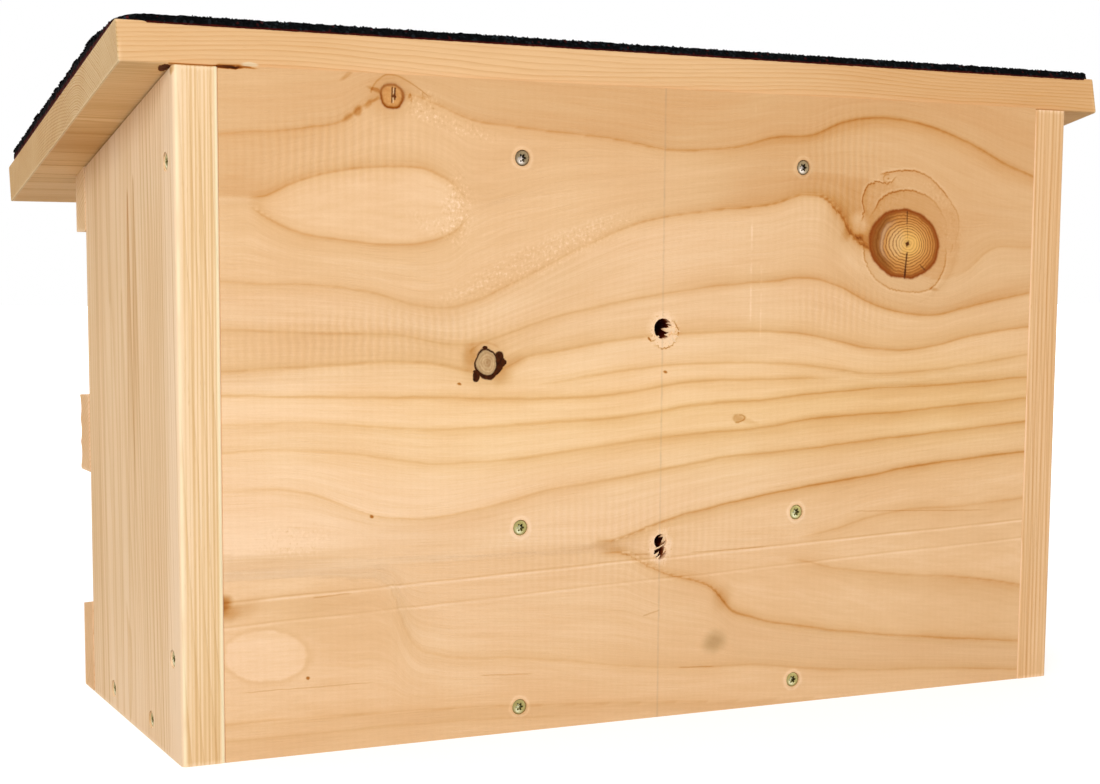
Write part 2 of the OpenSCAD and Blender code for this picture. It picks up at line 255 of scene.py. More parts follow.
studio = {"sky": 0.57, "floorGlow": 0.62, "farGlow": 0.5, "floorSize": 9.0, "lampAim": (0, 0, 0.12), "lamps": (
    ("keyLamp", (1.9, 2.5, 1.5), 1.4, 59.0), ("fillLamp", (-2.2, 2.4, 1.2), 1.8, 18.0),
    ("frontLamp", (0.6, -2.6, 1.6), 1.8, 33.0))}
for name, place, size, power in studio["lamps"]:
    lamp = addToScene(name, bpy.data.lights.new(name, "AREA"))
    lamp.data.size, lamp.data.energy, lamp.location = size, power, place
    lamp.rotation_euler = (Vector(studio["lampAim"]) - Vector(place)).to_track_quat("-Z", "Y").to_euler()

world = bpy.data.worlds.new("studioSky")
bpy.context.scene.world = world
world.use_nodes = True
sky = world.node_tree.nodes["Background"]
plug(seenRays(world.node_tree) * (1.0 - studio["sky"]) + studio["sky"], sky.inputs["Strength"])
sky.inputs["Color"].default_value = (1, 1, 1, 1)

floorMesh = bpy.data.meshes.new("studioFloor")
floorMesh.from_pydata([(x * studio["floorSize"], y * studio["floorSize"], 0)
                       for x, y in ((-1, -1), (1, -1), (1, 1), (-1, 1))], [], [(0, 1, 2, 3)])
floorPiece = addToScene("studioFloor", floorMesh)
floorMaterial, tree, shader, (px, py, pz) = newMaterial(
    "studioFloor", 0.9, Specular_IOR_Level=0.1, Emission_Color=(1, 1, 1, 1))
plug(mix(noise(combine(px / 900.0, py / 900.0, pz), 2.0) + 0.5,
         (0.50, 0.50, 0.495, 1), (0.53, 0.53, 0.53, 1)), shader.inputs["Base Color"])
glow = length(px, py).step(500.0, 2200.0) * studio["farGlow"] + studio["floorGlow"]
plug(seenRays(tree) * glow, shader.inputs["Emission Strength"])
dress(floorPiece, floorMaterial)
print("studio: camera, lamps and floor ready")


def honey(depth, tree):
    # how dark a piece of pine is, from 0 for the palest early wood to 1.6 for burnt knot rims
    return colourScale(depth / 1.6, (
        (0.000, 252, 216, 178), (0.040, 243, 204, 160), (0.078, 234, 192, 144), (0.125, 225, 181, 131),
        (0.175, 217, 168, 115),
        (0.240, 205, 151, 91), (0.330, 184, 118, 55), (0.480, 142, 76, 24), (0.650, 98, 46, 14), (1.00, 42, 16, 4)))


# solid pine: rings are cylinders round a pith line that runs along the grain; the distance from it, bent by
# slow noise, is cut into years, each darkening towards its late wood, with fine fibres drawn out along the grain
pineGroup, (along, across, through, pithAcross, pithThrough, lean, year, seed, base, contrast), end = newGroup(
    "solidPine", {"Along": 0.0, "Across": 0.0, "Through": 0.0, "Pith Across": 0.0, "Pith Through": 60.0, "Lean": 0.0,
                  "Year": 3.0, "Seed": 0.0, "Base": 0.15, "Contrast": 0.2}, ("Depth", "Height"))
drift = noise(combine(along / 260.0, across / 60.0 + seed, through / 60.0), 1.0) * 16.0
ripple = noise(combine(along / 60.0, across / 9.0 + seed, through / 9.0), 2.0) * 1.6
count = (length(across - pithAcross + along * lean, through - pithThrough) + drift + ripple) / year
count = count + noise(combine(count * 0.23, seed, 0.0), 1.0) * 2.2
part = count.fract()
late = part.use("POWER", 3.2) * (1.0 - part.step(0.93, 1.0))
strong = noise(combine(count.floor() * 0.71, seed + 4.0, 0.0), 0.0) * 1.3 + 0.75
fibre = noise(combine(along / 26.0, across * 1.7 + seed, through * 1.7), 3.0, 0.6)
cloud = noise(combine(along / 150.0, across / 24.0 + seed, through / 24.0), 2.0)
fleck = (noise(combine(along / 5.5, across * 1.9, through * 1.9 + seed), 1.0) - 0.17).high(0.0)
plug((base + late * strong * contrast + fibre * 0.10 + cloud * 0.16 + fleck * 0.35).high(0.0), end.inputs["Depth"])
plug(late * 0.35 + fibre * 0.55 - fleck, end.inputs["Height"])

# painted highlight along the arrises: the second smallest distance to the board's own faces is small only close to an
# edge
edgeGroup, (place, low, high, wide), end = newGroup(
    "boardEdge", {"Place": (0.0, 0.0, 0.0), "Low": (0.0, 0.0, 0.0), "High": (0.0, 0.0, 0.0), "Width": 2.0}, ("Mask",))
place = split(place)
dx, dy, dz = [(p - lo).low(hi - p) for p, lo, hi in zip(place, split(low), split(high))]
second = dx.low(dy).high(dx.high(dy).low(dz))
plug(1.0 - (second + noise(scaled(place, 7.0), 2.0) * 0.9).step(0.0, wide), end.inputs["Mask"])

# an oval mark: distance from a centre with two radii, 1 inside and fading over the edge
spotGroup, (x, z, cx, cz, wide, tall, turn, soft), end = newGroup(
    "ovalMark", {"X": 0.0, "Z": 0.0, "Centre X": 0.0, "Centre Z": 0.0, "Wide": 1.0, "Tall": 1.0, "Turn": 0.0,
                 "Soft": 0.3},
    ("Mask", "Reach"))
u, v = x - cx, z - cz
cosine, sine = turn.use("COSINE"), turn.sine()
reach = length((u * cosine + v * sine) / wide, (v * cosine - u * sine) / tall)
plug(1.0 - reach.step(1.0 - soft, 1.0 + soft), end.inputs["Mask"])
plug(reach, end.inputs["Reach"])

# part of a ring: a stroke at one radius, kept only within a span of directions
arcGroup, (x, z, cx, cz, radius, flat, line, aimX, aimZ, span), end = newGroup(
    "ringStroke", {"X": 0.0, "Z": 0.0, "Centre X": 0.0, "Centre Z": 0.0, "Radius": 5.0, "Flat": 1.0, "Line": 0.5,
                   "Aim X": 0.0, "Aim Z": 1.0, "Span": -1.1}, ("Mask",))
u, v = x - cx, (z - cz) / flat
reach = length(u, v)
toward = (u * aimX + v * aimZ) / reach.high(0.01)
plug((reach - radius).bell(line) * toward.step(span, span + 0.25), end.inputs["Mask"])

# a hairline: a dark thread along a nearly level line between two ends
hairGroup, (x, z, x0, x1, z0, z1, line), end = newGroup(
    "hairline", {"X": 0.0, "Z": 0.0, "From": 0.0, "To": 1.0, "Start Z": 0.0, "End Z": 0.0, "Line": 0.3}, ("Mask",))
way = (x - x0) / (x1 - x0)
plug((z - z0 - way * (z1 - z0)).bell(line) * way.step(0.0, 0.12) * (1.0 - way.step(0.85, 1.0)), end.inputs["Mask"])
print("wood groups: solidPine, boardEdge, ovalMark, ringStroke, hairline")

# the back panel's figure: growth lines from the foot up, each with where it runs, as (x, z) in mm; how strongly it
# shows along x; how far it fades below and above it, at the left and at the right; and the wood's tone above it along x
growthLines = (
    (((220, 10), (80, 7.5), (20, 3.5), (-60, -1.5), (-220, -8)), ((60, .08), (30, 0)),
     (1.5, 1.0, 1.5, 1.0), ((200, .10), (0, .17), (-200, .18))),
    (((220, 17), (160, 15.8), (100, 14), (20, 8.5), (-60, 3), (-220, -4)),
     ((100, .12), (-20, .08), (-50, 0)), (1.5, 2, 1.5, 2), ((200, .075), (120, .10), (0, .105), (-200, .145))),
    (((220, 82), (160, 79), (145, 76), (140, 70), (137, 60), (133, 50), (128, 44), (120, 41), (80, 36), (50, 32),
            (20, 27), (-20, 23), (-60, 21), (-80, 18), (-120, 13.5), (-160, 11), (-220, 5)),
     ((146, 0), (134, .07), (0, .13), (-220, .15)), (1.2, 3.5, 1.2, 3.5),
     ((200, .06), (60, .10), (0, .115), (-200, .145))),
    (((220, 86), (60, 84), (34, 84.2), (20, 83), (10, 77.5), (0, 72.5), (-20, 66.5), (-28, 63), (-34, 57),
            (-38, 52), (-50, 46.5), (-80, 39.5), (-120, 32.8), (-160, 27.5), (-220, 21)),
     ((36, 0), (26, .22), (0, .22), (-20, .26), (-34, .34), (-60, .25), (-220, .22)),
     (1.6, 2.5, 1.6, 2.5), ((200, .06), (0, .09), (-200, .17))),
    (((220, 88), (34, 85.6), (20, 85.7), (0, 80), (-40, 76), (-75, 74), (-90, 71), (-100, 68.5), (-140, 62.5),
            (-180, 58.5), (-220, 52)), ((-70, 0), (-82, .14), (-220, .18)), (3, 1.5, 4, 1.5),
     ((200, .06), (0, .09), (-200, .12))),
    (((220, 90), (34, 87.2), (20, 88.2), (-20, 87), (-60, 86), (-88, 86), (-100, 88), (-120, 93), (-140, 95.5),
            (-180, 96.5), (-220, 99)), ((-78, 0), (-90, .16), (-220, .18)), (4.5, 2, 4.5, 2),
     ((200, .06), (0, .09), (-200, .10))),
    (((220, 93), (60, 90), (36, 88.8), (28, 89), (20, 91), (0, 97), (-40, 105), (-80, 110.5), (-120, 115),
            (-140, 117.8), (-180, 121.3), (-220, 124)),
     ((38, 0), (28, .2), (0, .3), (-60, .35), (-120, .42), (-220, .36)), (2.2, .9, 1.8, .9),
     ((200, .02), (100, .07), (0, .06), (-200, .10))),
    (((220, 121.5), (190, 120.5), (180, 118.5), (160, 110.5), (150, 107), (130, 104.7), (100, 107.5), (60, 115.5),
            (20, 120), (-40, 128), (-80, 130), (-120, 133), (-220, 140)),
     ((220, .05), (170, .10), (60, .13), (0, .2), (-100, .28)), (1.8, 1.2, 2.2, .8),
     ((200, .03), (0, .05), (-200, .09))),
    (((220, 138.5), (190, 138.6), (160, 136), (120, 130), (80, 130.8), (40, 134.5), (0, 138.5), (-60, 142),
            (-80, 144.5), (-140, 147.5), (-220, 152.5)), ((120, .1), (60, .17), (-60, .24), (-130, .34), (-220, .3)),
     (2, 1.6, 3.5, 1.0), ((200, .04), (0, .03), (-200, .09))),
    (((220, 150.5), (180, 150.3), (120, 145.7), (60, 147.5), (20, 149), (-20, 154), (-60, 155.6), (-80, 157.5),
            (-120, 159.8), (-180, 161.5), (-220, 164)), ((220, .08), (80, .12), (20, .22), (-120, .32), (-220, .3)),
     (1.5, 1.2, 2.6, .7), ((200, .02), (0, .01), (-200, .09))),
    (((220, 163.5), (120, 160.5), (60, 158.8), (20, 160.5), (0, 163.8), (-60, 165.5), (-100, 165.2), (-130, 163.5),
            (-160, 165), (-220, 169.5)), ((220, .14), (60, .22), (-80, .2), (-104, 0)),
     (1.6, 1.3, 1.6, 1.3), ((200, .03), (0, .01), (-200, .09))),
    (((220, 168.5), (120, 167), (80, 165), (60, 166), (40, 169), (20, 171.5), (-40, 174), (-80, 172), (-120, 167),
            (-160, 168.5), (-220, 175.5)), ((68, 0), (55, .08), (30, .13), (-120, .2), (-220, .18)),
     (1.4, 1.6, 1.4, 1.2), ((200, .05), (0, .04), (-200, .09))),
    (((220, 173.5), (180, 175.5), (140, 176.8), (120, 176), (104, 172.5), (94, 171), (83, 174), (75, 178), (60, 180.5),
            (20, 186.5), (-10, 188.5), (-80, 187.5), (-120, 180), (-140, 179), (-160, 181), (-180, 185.5),
            (-220, 190.5)),
     ((220, .14), (104, .18), (60, .16), (0, .2), (-100, .24)), (2, 1.6, .8, 3.5),
     ((200, .12), (0, .08), (-200, .12))),
    (((220, 192), (180, 190.5), (140, 189), (100, 184.8), (80, 190.5), (60, 196.5), (20, 204.5), (-20, 210.5),
            (-60, 214), (-84, 215.6), (-100, 211.5), (-120, 202.5), (-140, 197.8), (-160, 197), (-180, 201),
            (-220, 208.5)),
     ((220, .12), (0, .16), (-60, .24), (-130, .3), (-220, .24)), (1.6, 2, 1.0, 3.2),
     ((200, .08), (0, .08), (-80, .12), (-200, .17))),
    (((220, 212.5), (150, 208), (130, 202.5), (112, 201.2), (100, 204.5), (80, 213), (40, 232), (20, 240),
            (-20, 247.5), (-60, 252), (-80, 257), (-90, 255.5), (-100, 246.5), (-108, 236), (-118, 231), (-140, 222),
            (-165, 215), (-180, 221), (-190, 229), (-220, 232.5)),
     ((110, .15), (60, .09), (-20, .22), (-80, .3), (-100, .42), (-116, .42), (-124, 0), (-172, 0), (-184, .09)),
     (3, 1, 1, 4.5), ((200, .12), (60, .12), (0, .15), (-60, .24), (-110, .27), (-200, .20))),
    (((220, 246), (206, 245.6), (200, 241.5), (190, 236), (170, 232), (140, 229.8), (120, 232), (110, 236.5),
            (104, 242.5), (98, 245.5), (60, 254), (0, 261), (-80, 268), (-140, 262), (-180, 251), (-220, 247)),
     ((208, 0), (202, .22), (190, .18), (120, .2), (108, .14), (103, 0)), (3.5, .9, 3.5, .9),
     ((110, .10), (96, .14), (0, .15), (-60, .24), (-200, .20))),
    (((220, 249.5), (206, 248.8), (200, 249.5), (190, 254.5), (180, 258.5), (160, 262.5), (140, 264.5), (120, 262),
            (110, 256), (104, 249), (98, 249), (60, 259), (0, 266), (-80, 273), (-140, 270), (-180, 256), (-220, 251)),
     ((208, 0), (202, .25), (180, .25), (120, .2), (108, .1), (103, 0)), (.9, 3, .9, 3),
     ((210, .20), (160, .15), (0, .15), (-60, .24), (-200, .20))),
    (((220, 276), (180, 280), (165, 283), (152, 292), (141, 295.5), (130, 296), (120, 293), (100, 286), (80, 284),
            (20, 279), (0, 276), (-20, 276.5), (-40, 279), (-60, 284), (-80, 285.5), (-100, 293), (-120, 296),
            (-160, 291), (-180, 284.5), (-200, 276), (-220, 269)),
     ((220, .12), (165, .17), (158, .10), (146, .10), (130, .13), (100, .12), (0, .15), (-60, .25), (-100, .3),
      (-220, .25)),
     (2.5, .8, 6, .8), ((200, .20), (0, .25), (-200, .26))))


def curveThrough(points, x):
    # a smooth curve through the points: between two of them a cubic whose slope at each point is that of the
    # line from the point before to the point after
    px, pz = np.array(sorted(points), float).T
    slope = np.gradient(pz, px)
    i = np.clip(np.searchsorted(px, x) - 1, 0, len(px) - 2)
    span = px[i + 1] - px[i]
    t = np.clip((x - px[i]) / span, 0, 1)
    return (pz[i] * (1 + 2 * t) * (1 - t) ** 2 + pz[i + 1] * t * t * (3 - 2 * t)
            + span * t * (1 - t) * (slope[i] * (1 - t) - slope[i + 1] * t))


def straightThrough(points, x):
    # straight pieces through the points, level beyond the ends
    px, pv = np.array(sorted(points), float).T
    return np.interp(x, px, pv)


figure = {"foot": -14.0, "head": 322.0, "leastGap": .4, "probe": .6, "gapRange": (.5, 60), "fade": 2, "tone": .14,
          "edge": 200}


def growthShares(x, z):
    # for each gap between two growth lines, how much of it lies below a place: (height - lower) / (upper - lower)
    levels = [np.full_like(x, figure["foot"])] + [curveThrough(line[0], x) for line in growthLines]
    levels.append(np.full_like(x, figure["head"]))
    return [np.clip((z - low) / np.maximum(high - low, figure["leastGap"]), 0, 1)
            for low, high in zip(levels, levels[1:])]


def addFigure(piece, x, z):
    # three fields. figure: the count of lines below, the gap = 1 / slope of that count, and the height the place
    # would have at the panel's middle; carried: darkness and fades, blended from line to line by the shares; tone
    shares = growthShares(x, z)
    phase = sum(shares)
    h = figure["probe"]
    east, west, up, down = [sum(growthShares(x + i, z + j)) for i, j in ((h, 0), (-h, 0), (0, h), (0, -h))]
    gap = np.clip(2 * h / np.sqrt((east - west) ** 2 + (up - down) ** 2 + 1e-9), *figure["gapRange"])
    side = np.clip((x + figure["edge"]) / (2 * figure["edge"]), 0, 1)
    runs, darks, fades, tones = zip(*growthLines)
    none = np.zeros_like(x)

    def blend(ends, values):
        values = [ends[0]] + values + [ends[1]]
        return values[0] + sum(s * (b - a) for s, a, b in zip(shares, values, values[1:]))

    flow = blend((figure["foot"], figure["head"]), [float(straightThrough(run, np.array(0.0))) for run in runs])
    carried = [blend((none, none), [straightThrough(dark, x) for dark in darks])] + [
        blend((none + figure["fade"],) * 2, [fade[k] * side + fade[k + 2] * (1 - side) for fade in fades])
        for k in (0, 1)]
    tones = [none + figure["tone"]] + [straightThrough(tone, x) for tone in tones]
    cell = np.clip(np.floor(phase).astype(int), 0, len(tones) - 1)
    addField(piece, "figure", np.stack([phase, gap, flow], 1))
    addField(piece, "carried", np.stack(carried, 1))
    addField(piece, "tone", np.take_along_axis(np.array(tones), cell[None], 0)[0])


panel = {"snug": .35, "stepX": 2.5, "stepZ": 1.3, "face": 0.4, "screwHole": 3.85, "rim": .35, "rimReach": 1.1,
         "clear": 3.5, "cone": ((1.0, .93), (2.6, .5), (6.6, .42)), "slope": 12.0,
         "screws": ((76.67, 270), (-76.67, 270), (76.67, 98), (-76.67, 98), (76.67, 12), (-76.67, 12)),
         "hangers": ((1.5, 191, 5.0, 0.0), (1.5, 84.75, 3.5, 2.75))}


def panelSheet(xs, zs, holes, rings):
    # a rectangular grid with a block of cells left out round each hole; rings of points lead from the block's edge
    # to the hole's outline: place = edge + (outline - edge) * share. A hole is one drilled circle or two that
    # overlap, one above the other, so its outline is half * |sin| + root(radius^2 - half^2 * cos^2)
    gx, gz = np.meshgrid(xs, zs, indexing="ij")
    index = np.arange(gx.size).reshape(gx.shape)
    keep = np.ones((len(xs) - 1, len(zs) - 1), bool)
    points, faces, mouths, first = [np.stack([gx.ravel(), gz.ravel()], 1)], [], [], gx.size
    for cx, cz, radius, half in holes:
        spanX, spanZ = radius + panel["clear"], radius + half + panel["clear"]
        i0, i1 = np.searchsorted(xs, cx - spanX) - 1, np.searchsorted(xs, cx + spanX)
        j0, j1 = max(np.searchsorted(zs, cz - spanZ) - 1, 0), min(np.searchsorted(zs, cz + spanZ), len(zs) - 1)
        keep[i0:i1, j0:j1] = False
        loop = np.concatenate([index[i0:i1, j0], index[i1, j0:j1], index[i1:i0:-1, j1], index[i0, j1:j0:-1]])
        edge = points[0][loop]
        angle = np.arctan2(edge[:, 1] - cz, edge[:, 0] - cx)
        reach = half * np.abs(np.sin(angle)) + np.sqrt(radius ** 2 - (half * np.cos(angle)) ** 2)
        outline = reach[:, None] * np.stack([np.cos(angle), np.sin(angle)], 1) + (cx, cz)
        share = np.linspace(0, 1, rings + 1)[1:, None, None]
        ids = np.concatenate([loop[None], first + np.arange(rings * len(loop)).reshape(rings, len(loop))])
        points.append((edge + (outline - edge) * share).reshape(-1, 2))
        nxt = np.roll(ids, -1, 1)
        faces.append(np.stack([ids[:-1], nxt[:-1], nxt[1:], ids[1:]], -1).reshape(-1, 4))
        mouths.append(ids[-1])
        first += rings * len(loop)
    i, j = np.nonzero(keep)
    faces.append(np.stack([index[i, j], index[i + 1, j], index[i + 1, j + 1], index[i, j + 1]], 1))
    rim = np.concatenate([index[:-1, 0], index[-1, :-1], index[:0:-1, -1], index[0, :0:-1]])
    return np.concatenate(points), np.concatenate(faces), mouths, rim


def makeBackPanel():
    # two such sheets, the back face and the one inside, joined round the outside and through the hanging holes; round
    # a mouth the wood rises by rim * exp(-(distance / reach)^2) * (0.62 + 0.38 * a product of two sine waves)
    low, high = [np.array(corner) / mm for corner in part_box("back_panel")]
    hangers, screws = list(panel["hangers"]), [(x, z, panel["screwHole"], 0.0) for x, z in panel["screws"]]
    wide = np.linspace(low[0] - panel["snug"], high[0] + panel["snug"], int((high[0] - low[0]) / panel["stepX"]))
    tall = low[2] + np.linspace(0, 1, int((high[2] - low[2]) / panel["stepZ"])) * (high[2] - low[2])
    outer, outerFaces, mouths, outerRim = panelSheet(wide, tall, hangers + screws, 3)
    inner, innerFaces, insides, innerRim = panelSheet(wide, tall, hangers, 1)
    face = high[1] - panel["face"]
    ragged = np.sin(outer[:, 0] * 5.1 + outer[:, 1] * 3.7) * np.sin(outer[:, 1] * 4.3 - outer[:, 0] * 2.9)
    swell = sum(np.exp(-((np.hypot(outer[:, 0] - x, (outer[:, 1] - z) / (1 + half / radius)) - radius)
                         / panel["rimReach"]) ** 2)
                for x, z, radius, half in hangers + screws) * panel["rim"] * (.62 + .38 * ragged)
    outerPoints = np.stack([outer[:, 0], face + np.minimum(swell, panel["face"]), outer[:, 1]], 1)
    top = high[2] - math.tan(math.radians(panel["slope"])) * (high[1] - low[1])
    innerPoints = np.stack([inner[:, 0], np.full(len(inner), low[1]), np.minimum(inner[:, 1], top)], 1)
    points, faces = [outerPoints, innerPoints], [outerFaces[:, ::-1], innerFaces + len(outer)]
    first = len(outer) + len(inner)

    def bridge(ringA, ringB):
        faces.append(np.stack([ringA, np.roll(ringA, -1), np.roll(ringB, -1), ringB], 1))

    bridge(outerRim, innerRim + len(outer))
    for mouth, inside in zip(mouths, insides):
        bridge(mouth[::-1], (inside + len(outer))[::-1])
    for mouth, (x, z, radius, half) in zip(mouths[len(hangers):], screws):
        cone = outerPoints[mouth].copy()
        for depth, share in panel["cone"]:
            points.append(np.stack([x + (cone[:, 0] - x) * share, np.full(len(mouth), face - depth),
                                    z + (cone[:, 2] - z) * share], 1))
            ids = first + np.arange(len(mouth))
            bridge(mouth[::-1], ids[::-1])
            first, mouth = first + len(mouth), ids
        points.append(np.array([[x, face - panel["cone"][-1][0], z]]))
        faces.append(np.stack([np.roll(mouth, -1), mouth, np.full(len(mouth), first), np.full(len(mouth), first)], 1))
        first += 1
    points = np.concatenate(points)
    quads = [[*dict.fromkeys(f)] for f in np.concatenate(faces).tolist()]
    piece = addMesh("backPanel", points, quads, 40, ["back_panel"])
    addFigure(piece, points[:, 0].astype(float), points[:, 2].astype(float))
    return piece


backPanel = makeBackPanel()
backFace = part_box("back_panel")[1].y / mm - panel["face"]
print("back panel: %d faces" % len(backPanel.data.polygons))

# the wood's own shine: little, and warm
woodShine = {"Specular_IOR_Level": 0.10, "Specular_Tint": paint(255, 214, 170)}

# the back panel's wood: growth lines from the mesh's own figure, evaluated afresh at every point of the surface
backWood, tree, shader, (px, py, pz) = newMaterial("pineBackPanel", 0.62, **woodShine)
# one cloudy displacement, shared: marks are placed on (wx, wz), fine lines on the calmer (sx, sz)
small, broad, third = noise(combine(px / 6.0, 0.0, pz / 6.0), 3.0, out="Color")
wx, wz, sx, sz = px + small * 2.6, pz + broad * 2.6, px + small * .8, pz + broad * .8


def mark(x, z, wide, tall, turn=0.0, soft=0.5, out="Mask"):
    # an oval: its centre and two radii in mm, its turn in degrees
    return useGroup(tree, spotGroup, {"X": wx, "Z": wz, "Centre X": float(x), "Centre Z": float(z), "Wide": float(wide),
                                      "Tall": float(tall), "Turn": math.radians(turn), "Soft": soft})[out]


def arc(x, z, radius, line, aim=90.0, span=190.0, flat=1.0):
    # part of a ring round (x, z), kept within the span of degrees from the aim: cos(direction - aim) > cos(span)
    return useGroup(tree, arcGroup, {
        "X": wx, "Z": wz, "Centre X": float(x), "Centre Z": float(z), "Radius": float(radius), "Flat": flat,
        "Line": line, "Aim X": math.cos(math.radians(aim)), "Aim Z": math.sin(math.radians(aim)),
        "Span": math.cos(math.radians(span)) - (0.2 if span > 179 else 0)})["Mask"]


def hair(start, end, line=0.3, upright=False):
    # a thin line from (x, z) to (x, z); an upright one swaps the two axes
    (x0, z0), (x1, z1), (x, z) = start, end, (sx, sz)
    if upright:
        x0, z0, x1, z1, x, z = z0, x0, z1, x1, sz, sx
    return useGroup(tree, hairGroup, {"X": x, "Z": z, "From": float(x0), "To": float(x1), "Start Z": float(z0),
                                      "End Z": float(z1), "Line": line})["Mask"]


def drawnCurve(value, points):
    # a smooth curve through (place, height) points, both between 0 and 1
    curve = made(tree, "FloatCurve", {"Value": value})
    mapping = curve.socket.node.mapping
    for count, (at, height) in enumerate(points):
        if count < 2:
            mapping.curves[0].points[count].location = (at, height)
        else:
            mapping.curves[0].points.new(at, height)
    for point in mapping.curves[0].points:
        point.handle_type = "AUTO_CLAMPED"
    mapping.extend = "HORIZONTAL"
    mapping.update()
    return curve


def tornLayer(x, z, shape, ragged):
    # the edge of a layer of grain that turns round a knot. Its radius is a curve of the direction, through rows of
    # (degrees, mm, strength); returns how far outside the curve a place lies, the strength, and a painted shadow that
    # falls inside it
    u, v = px - x, pz - z
    way = v.use("ARCTAN2", u) / (2 * math.pi) + .5
    at = [((degrees / 360 + .5), radius, strength) for degrees, radius, strength in sorted(shape)]
    radius = drawnCurve(way, [(place, radius / 50) for place, radius, strength in at]) * 50.0
    step = noise(combine((way * 150.0).floor() * 3.1, x * 1.0, 0.0), 0.0) * ragged + small * ragged * .8
    off = length(u, v) - radius + step
    strength = drawnCurve(way, [(place, strength) for place, radius, strength in at])
    return off, strength, lambda width: (off / width).low(0.0).exp() * (1.0 - off.step(-.2, .2))


phase, gap, flow = split(attribute(tree, "figure"))
dark, fadeBelow, fadeAbove = split(attribute(tree, "carried"))
tone = attribute(tree, "tone", "Fac")
mottle = noise(combine(px / 1.4, pz / 1.8, 5.0), 3.0)
# torn, stepped edges beside the big knot, where the planer lifted the turning grain
tear = mark(-110, 245, 17, 24, 0, .5)
jag = (noise(combine((px / 2.7).floor() * 3.7, (pz / 9.0).floor(), 0.0), 0.0) * 9.0 + mottle * 2.5) * tear
waver = noise(combine(px / 19.0, flow / 7.0, 1.0), 3.0) * 1.5 + third * .5
shifted = (phase + (waver + jag) / gap).fract()
above, below = shifted * gap, (1.0 - shifted) * gap
line = dark * (0.52 * ((-(above / fadeAbove / 1.35)).exp() + (-(below / fadeBelow / 1.35)).exp())
               + 0.30 * (above.bell(.6) + below.bell(.6)))
patchy = noise(combine(px / 34.0, flow / 11.0, 4.0), 2.0)
line = line * (patchy * 1.1 + 1.0)

# long streaks, fibres, clouds and dots, and the planer's chatter: a wave of 3.86 mm, stronger in a few zones
streak = noise(combine(px / 75.0, flow / 2.6, 7.0), 3.0, .6) * .11
fibre = noise(combine(px / 15.0, flow / .42, 9.0), 2.0, .6)
cloud = noise(combine(px / 70.0, flow / 22.0, 11.0), 2.0) * .09
grainDots = noise(combine(px / .9, pz / .7, 3.0), 1.0)
wave = ((px + patchy * 3.0) * (2 * math.pi / 3.86)).sine()
chatterZone = (.20 + mark(165, 272, 40, 14, -8, .7) + mark(150, 188, 60, 12, -4, .6) * .8
               + mark(-100, 268, 24, 27, 0, .7) + mark(-100, 200, 26, 12, 0, .7) * .8
               + mark(20, 90, 60, 20, 0, .8) * .5)
chatter = wave * (noise(combine(px / 3.9, pz / 16.0, 2.0), 2.0) + .75) * chatterZone
base = tone + streak + cloud + fibre * .085 + grainDots * .035 + chatter * .024 + line

# oval marks, as (x, z, wide, tall, turn, softness, change in darkness)
marks = (
    (201, 46.2, 21, 13.0, 6, .12, .05), (201.4, 46.6, 19.2, 11.6, 6, .07, -.085), (196, 65, 30, 8, -3, .7, .06),
    # the two thin marks at z 304.3 and 304.5, x 210 to 216, are painted shadow in the narrow gap under the roof
    (52, 214, 26, 7, -14, .8, .035), (216.4, 304.5, 5.6, .9, 0, .4, .95), (210, 304.3, 6.0, .5, 0, .6, .45),
    (-48, 182, 26, 4, -4, .8, .025), (60, 84, 30, 5, -3, .8, .02), (160, 60, 34, 17, 8, .5, .04),
    (219, 68, 5, 3.5, 0, .7, .14), (29, 86.4, 8, 2.7, 14, .8, .10), (-34, 57, 4.5, 6, 20, .7, .09),
    (213, 247, 10, 14, 0, .6, .04), (-101, 244, 10, 15, 20, .7, .08), (141.5, 295, 9.5, 9, 0, .6, .09),
    (157.0, 288.2, 2.1, 1.5, -50, .5, .24), (161.6, 285.2, 2.6, 1.5, -35, .6, .15),
    (151.9, 291.8, 2.6, 1.1, -48, .6, .18), (148.6, 293.8, 1.6, .7, -45, .6, .10),
    (148.6, 297.6, 3.6, .9, 20, .6, .2), (132.4, 295.4, .8, 1.2, 20, .5, .18), (131.4, 293.6, .4, 1.4, 0, .6, .14),
    (126.2, 296, .5, 2.0, 8, .6, .10), (161.8, 303.3, 3.2, .8, -34, .6, .13), (94.5, 176.3, 10.5, 10.5, 10, .6, .085),
    (86.6, 170.5, 5.4, 5.0, -30, .7, .08), (220.5, 68, 2.2, 2, 0, .6, .1), (220.5, 72.5, 3.2, 2.8, 20, .7, .40),
    (214, 68.5, 9, 3.6, -14, .7, .10), (186, 91, 26, 4, -2, .8, .03), (102.4, 179, 3.4, 5.0, 14, .7, .17),
    (80, 176.6, 4.6, 2.6, -20, .8, .10), (87.6, 170.4, 3.6, 3.4, 0, .7, .08), (-139, 236, 28, 24, 0, .4, .08),
    (-113.5, 238, 7, 13, 10, .6, .02), (-41.7, 146.4, 2.8, 1.6, 12, .5, .20), (-47, 144.6, 5, 1.0, 12, .8, .08),
    (-157.8, 210.2, 2.6, .9, 10, .7, .17), (-103.5, 238.5, 2.4, 4.2, 24, .6, .13),
    (-110.5, 236.0, 2.6, 1.4, -18, .6, .14), (-110.0, 242.6, 5.4, 5.6, 30, .5, -.17), (-109, 225, 9, 7, 0, .8, -.03))
marks += tuple((x, z, .9, .6, 10, .5, .5) for x, z in ((151, 107), (108, 165.8), (182, 35), (-.4, 170)))
for *oval, change in marks:
    base = base + mark(*oval) * change

